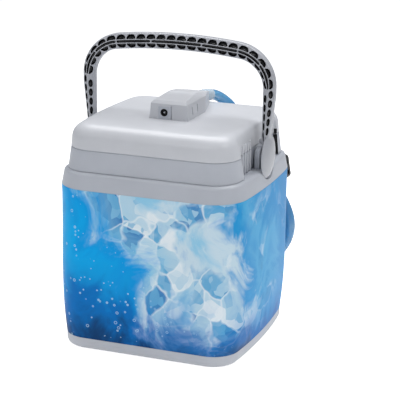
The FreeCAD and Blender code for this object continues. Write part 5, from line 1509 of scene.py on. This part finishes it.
# %% [markdown]
# ## Lamps
# Four soft boxes light the object, as in a small studio: one above and behind for the line
# along the lid's edge, one in front, one at the right for the corner, and a wide one at the
# left that fills the shade. One sun would be simpler, but its shadows are hard and plastic
# shows its shape by broad, soft reflections.

# %% Lamps
LAMP_AIM = Vector((0, 0, 0.18))
# Each lamp: degrees to the right, degrees up, distance, width, height and power.
LAMPS = {"above": (0, 106, 1.2, 1.3, 0.9, 15.5), "front": (-2, 34, 1.6, 0.7, 0.14, 4.6),
         "corner": (78, 38, 1.5, 0.3, 0.3, 3.0), "fill": (-60, 30, 2.0, 1.2, 1.0, 1.7)}

for name, (azimuth, elevation, distance, wide, high, power) in LAMPS.items():
    lamp = bpy.data.objects.new(name, bpy.data.lights.new(name, "AREA"))
    scene.collection.objects.link(lamp)
    lamp.data.shape = "RECTANGLE"
    lamp.data.size, lamp.data.size_y, lamp.data.energy = wide, high, power
    aim = direction(azimuth, elevation)
    lamp.location = LAMP_AIM + aim * distance
    lamp.rotation_euler = aim.to_track_quat("Z", "Y").to_euler()
print("lamps:", list(LAMPS))

# %% [markdown]
# ## World and floor
# The background is pure white. More light would bleach the object, so only the camera, and
# rays that pass through the clear boot and hose, see a white world; all others see a dim, cool
# one. The floor is a flat sheet of white paper that glows a little more for the camera.

# %% World and floor
WORLD_TONE, WORLD_STRENGTH = (0.9, 0.93, 1, 1), 0.24
FLOOR_GLOW, FLOOR_GLOW_SEEN, FLOOR_SIZE = 0.2, 0.78, 16

world = bpy.data.worlds.new("studio")
scene.world = world
world.use_nodes = True
sky = world.node_tree
sky.nodes.clear()
path = add_node(sky, "LightPath").outputs
bright = add_node(sky, "Math", {0: path["Is Camera Ray"], 1: path["Is Transmission Ray"]},
                  operation="MAXIMUM")
seen = add_node(sky, "Background", {"Color": (1, 1, 1, 1)})
around = add_node(sky, "Background", {"Color": WORLD_TONE, "Strength": WORLD_STRENGTH})
choice = add_node(sky, "MixShader", {0: bright.outputs[0], 1: around.outputs[0],
                                     2: seen.outputs[0]})
add_node(sky, "OutputWorld", {0: choice.outputs[0]})

bpy.ops.mesh.primitive_plane_add(size=FLOOR_SIZE)
floor = bpy.context.object
floor.name = "studio_floor"
paper = Finish("white paper", Roughness=0.9, Emission_Color=(1, 1, 1, 1))
from_camera = paper.add("LightPath").outputs["Is Camera Ray"]
paper.set("Emission Strength", paper.spread(from_camera, FLOOR_GLOW, FLOOR_GLOW_SEEN))
paper.set("Base Color", paper.ramp(paper.noise(2.0), [(0.3, (250, 250, 250)),
                                                      (0.7, (253, 253, 253))]))
floor.data.materials.append(paper.material)
scene.view_settings.view_transform = "Standard"
print("floor: %d m wide" % FLOOR_SIZE)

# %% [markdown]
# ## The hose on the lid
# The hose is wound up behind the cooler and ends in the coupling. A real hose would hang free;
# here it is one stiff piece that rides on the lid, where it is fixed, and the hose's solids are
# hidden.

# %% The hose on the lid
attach(hose, "lid")
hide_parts("hose_run", "hose_coil", "hose_tail")
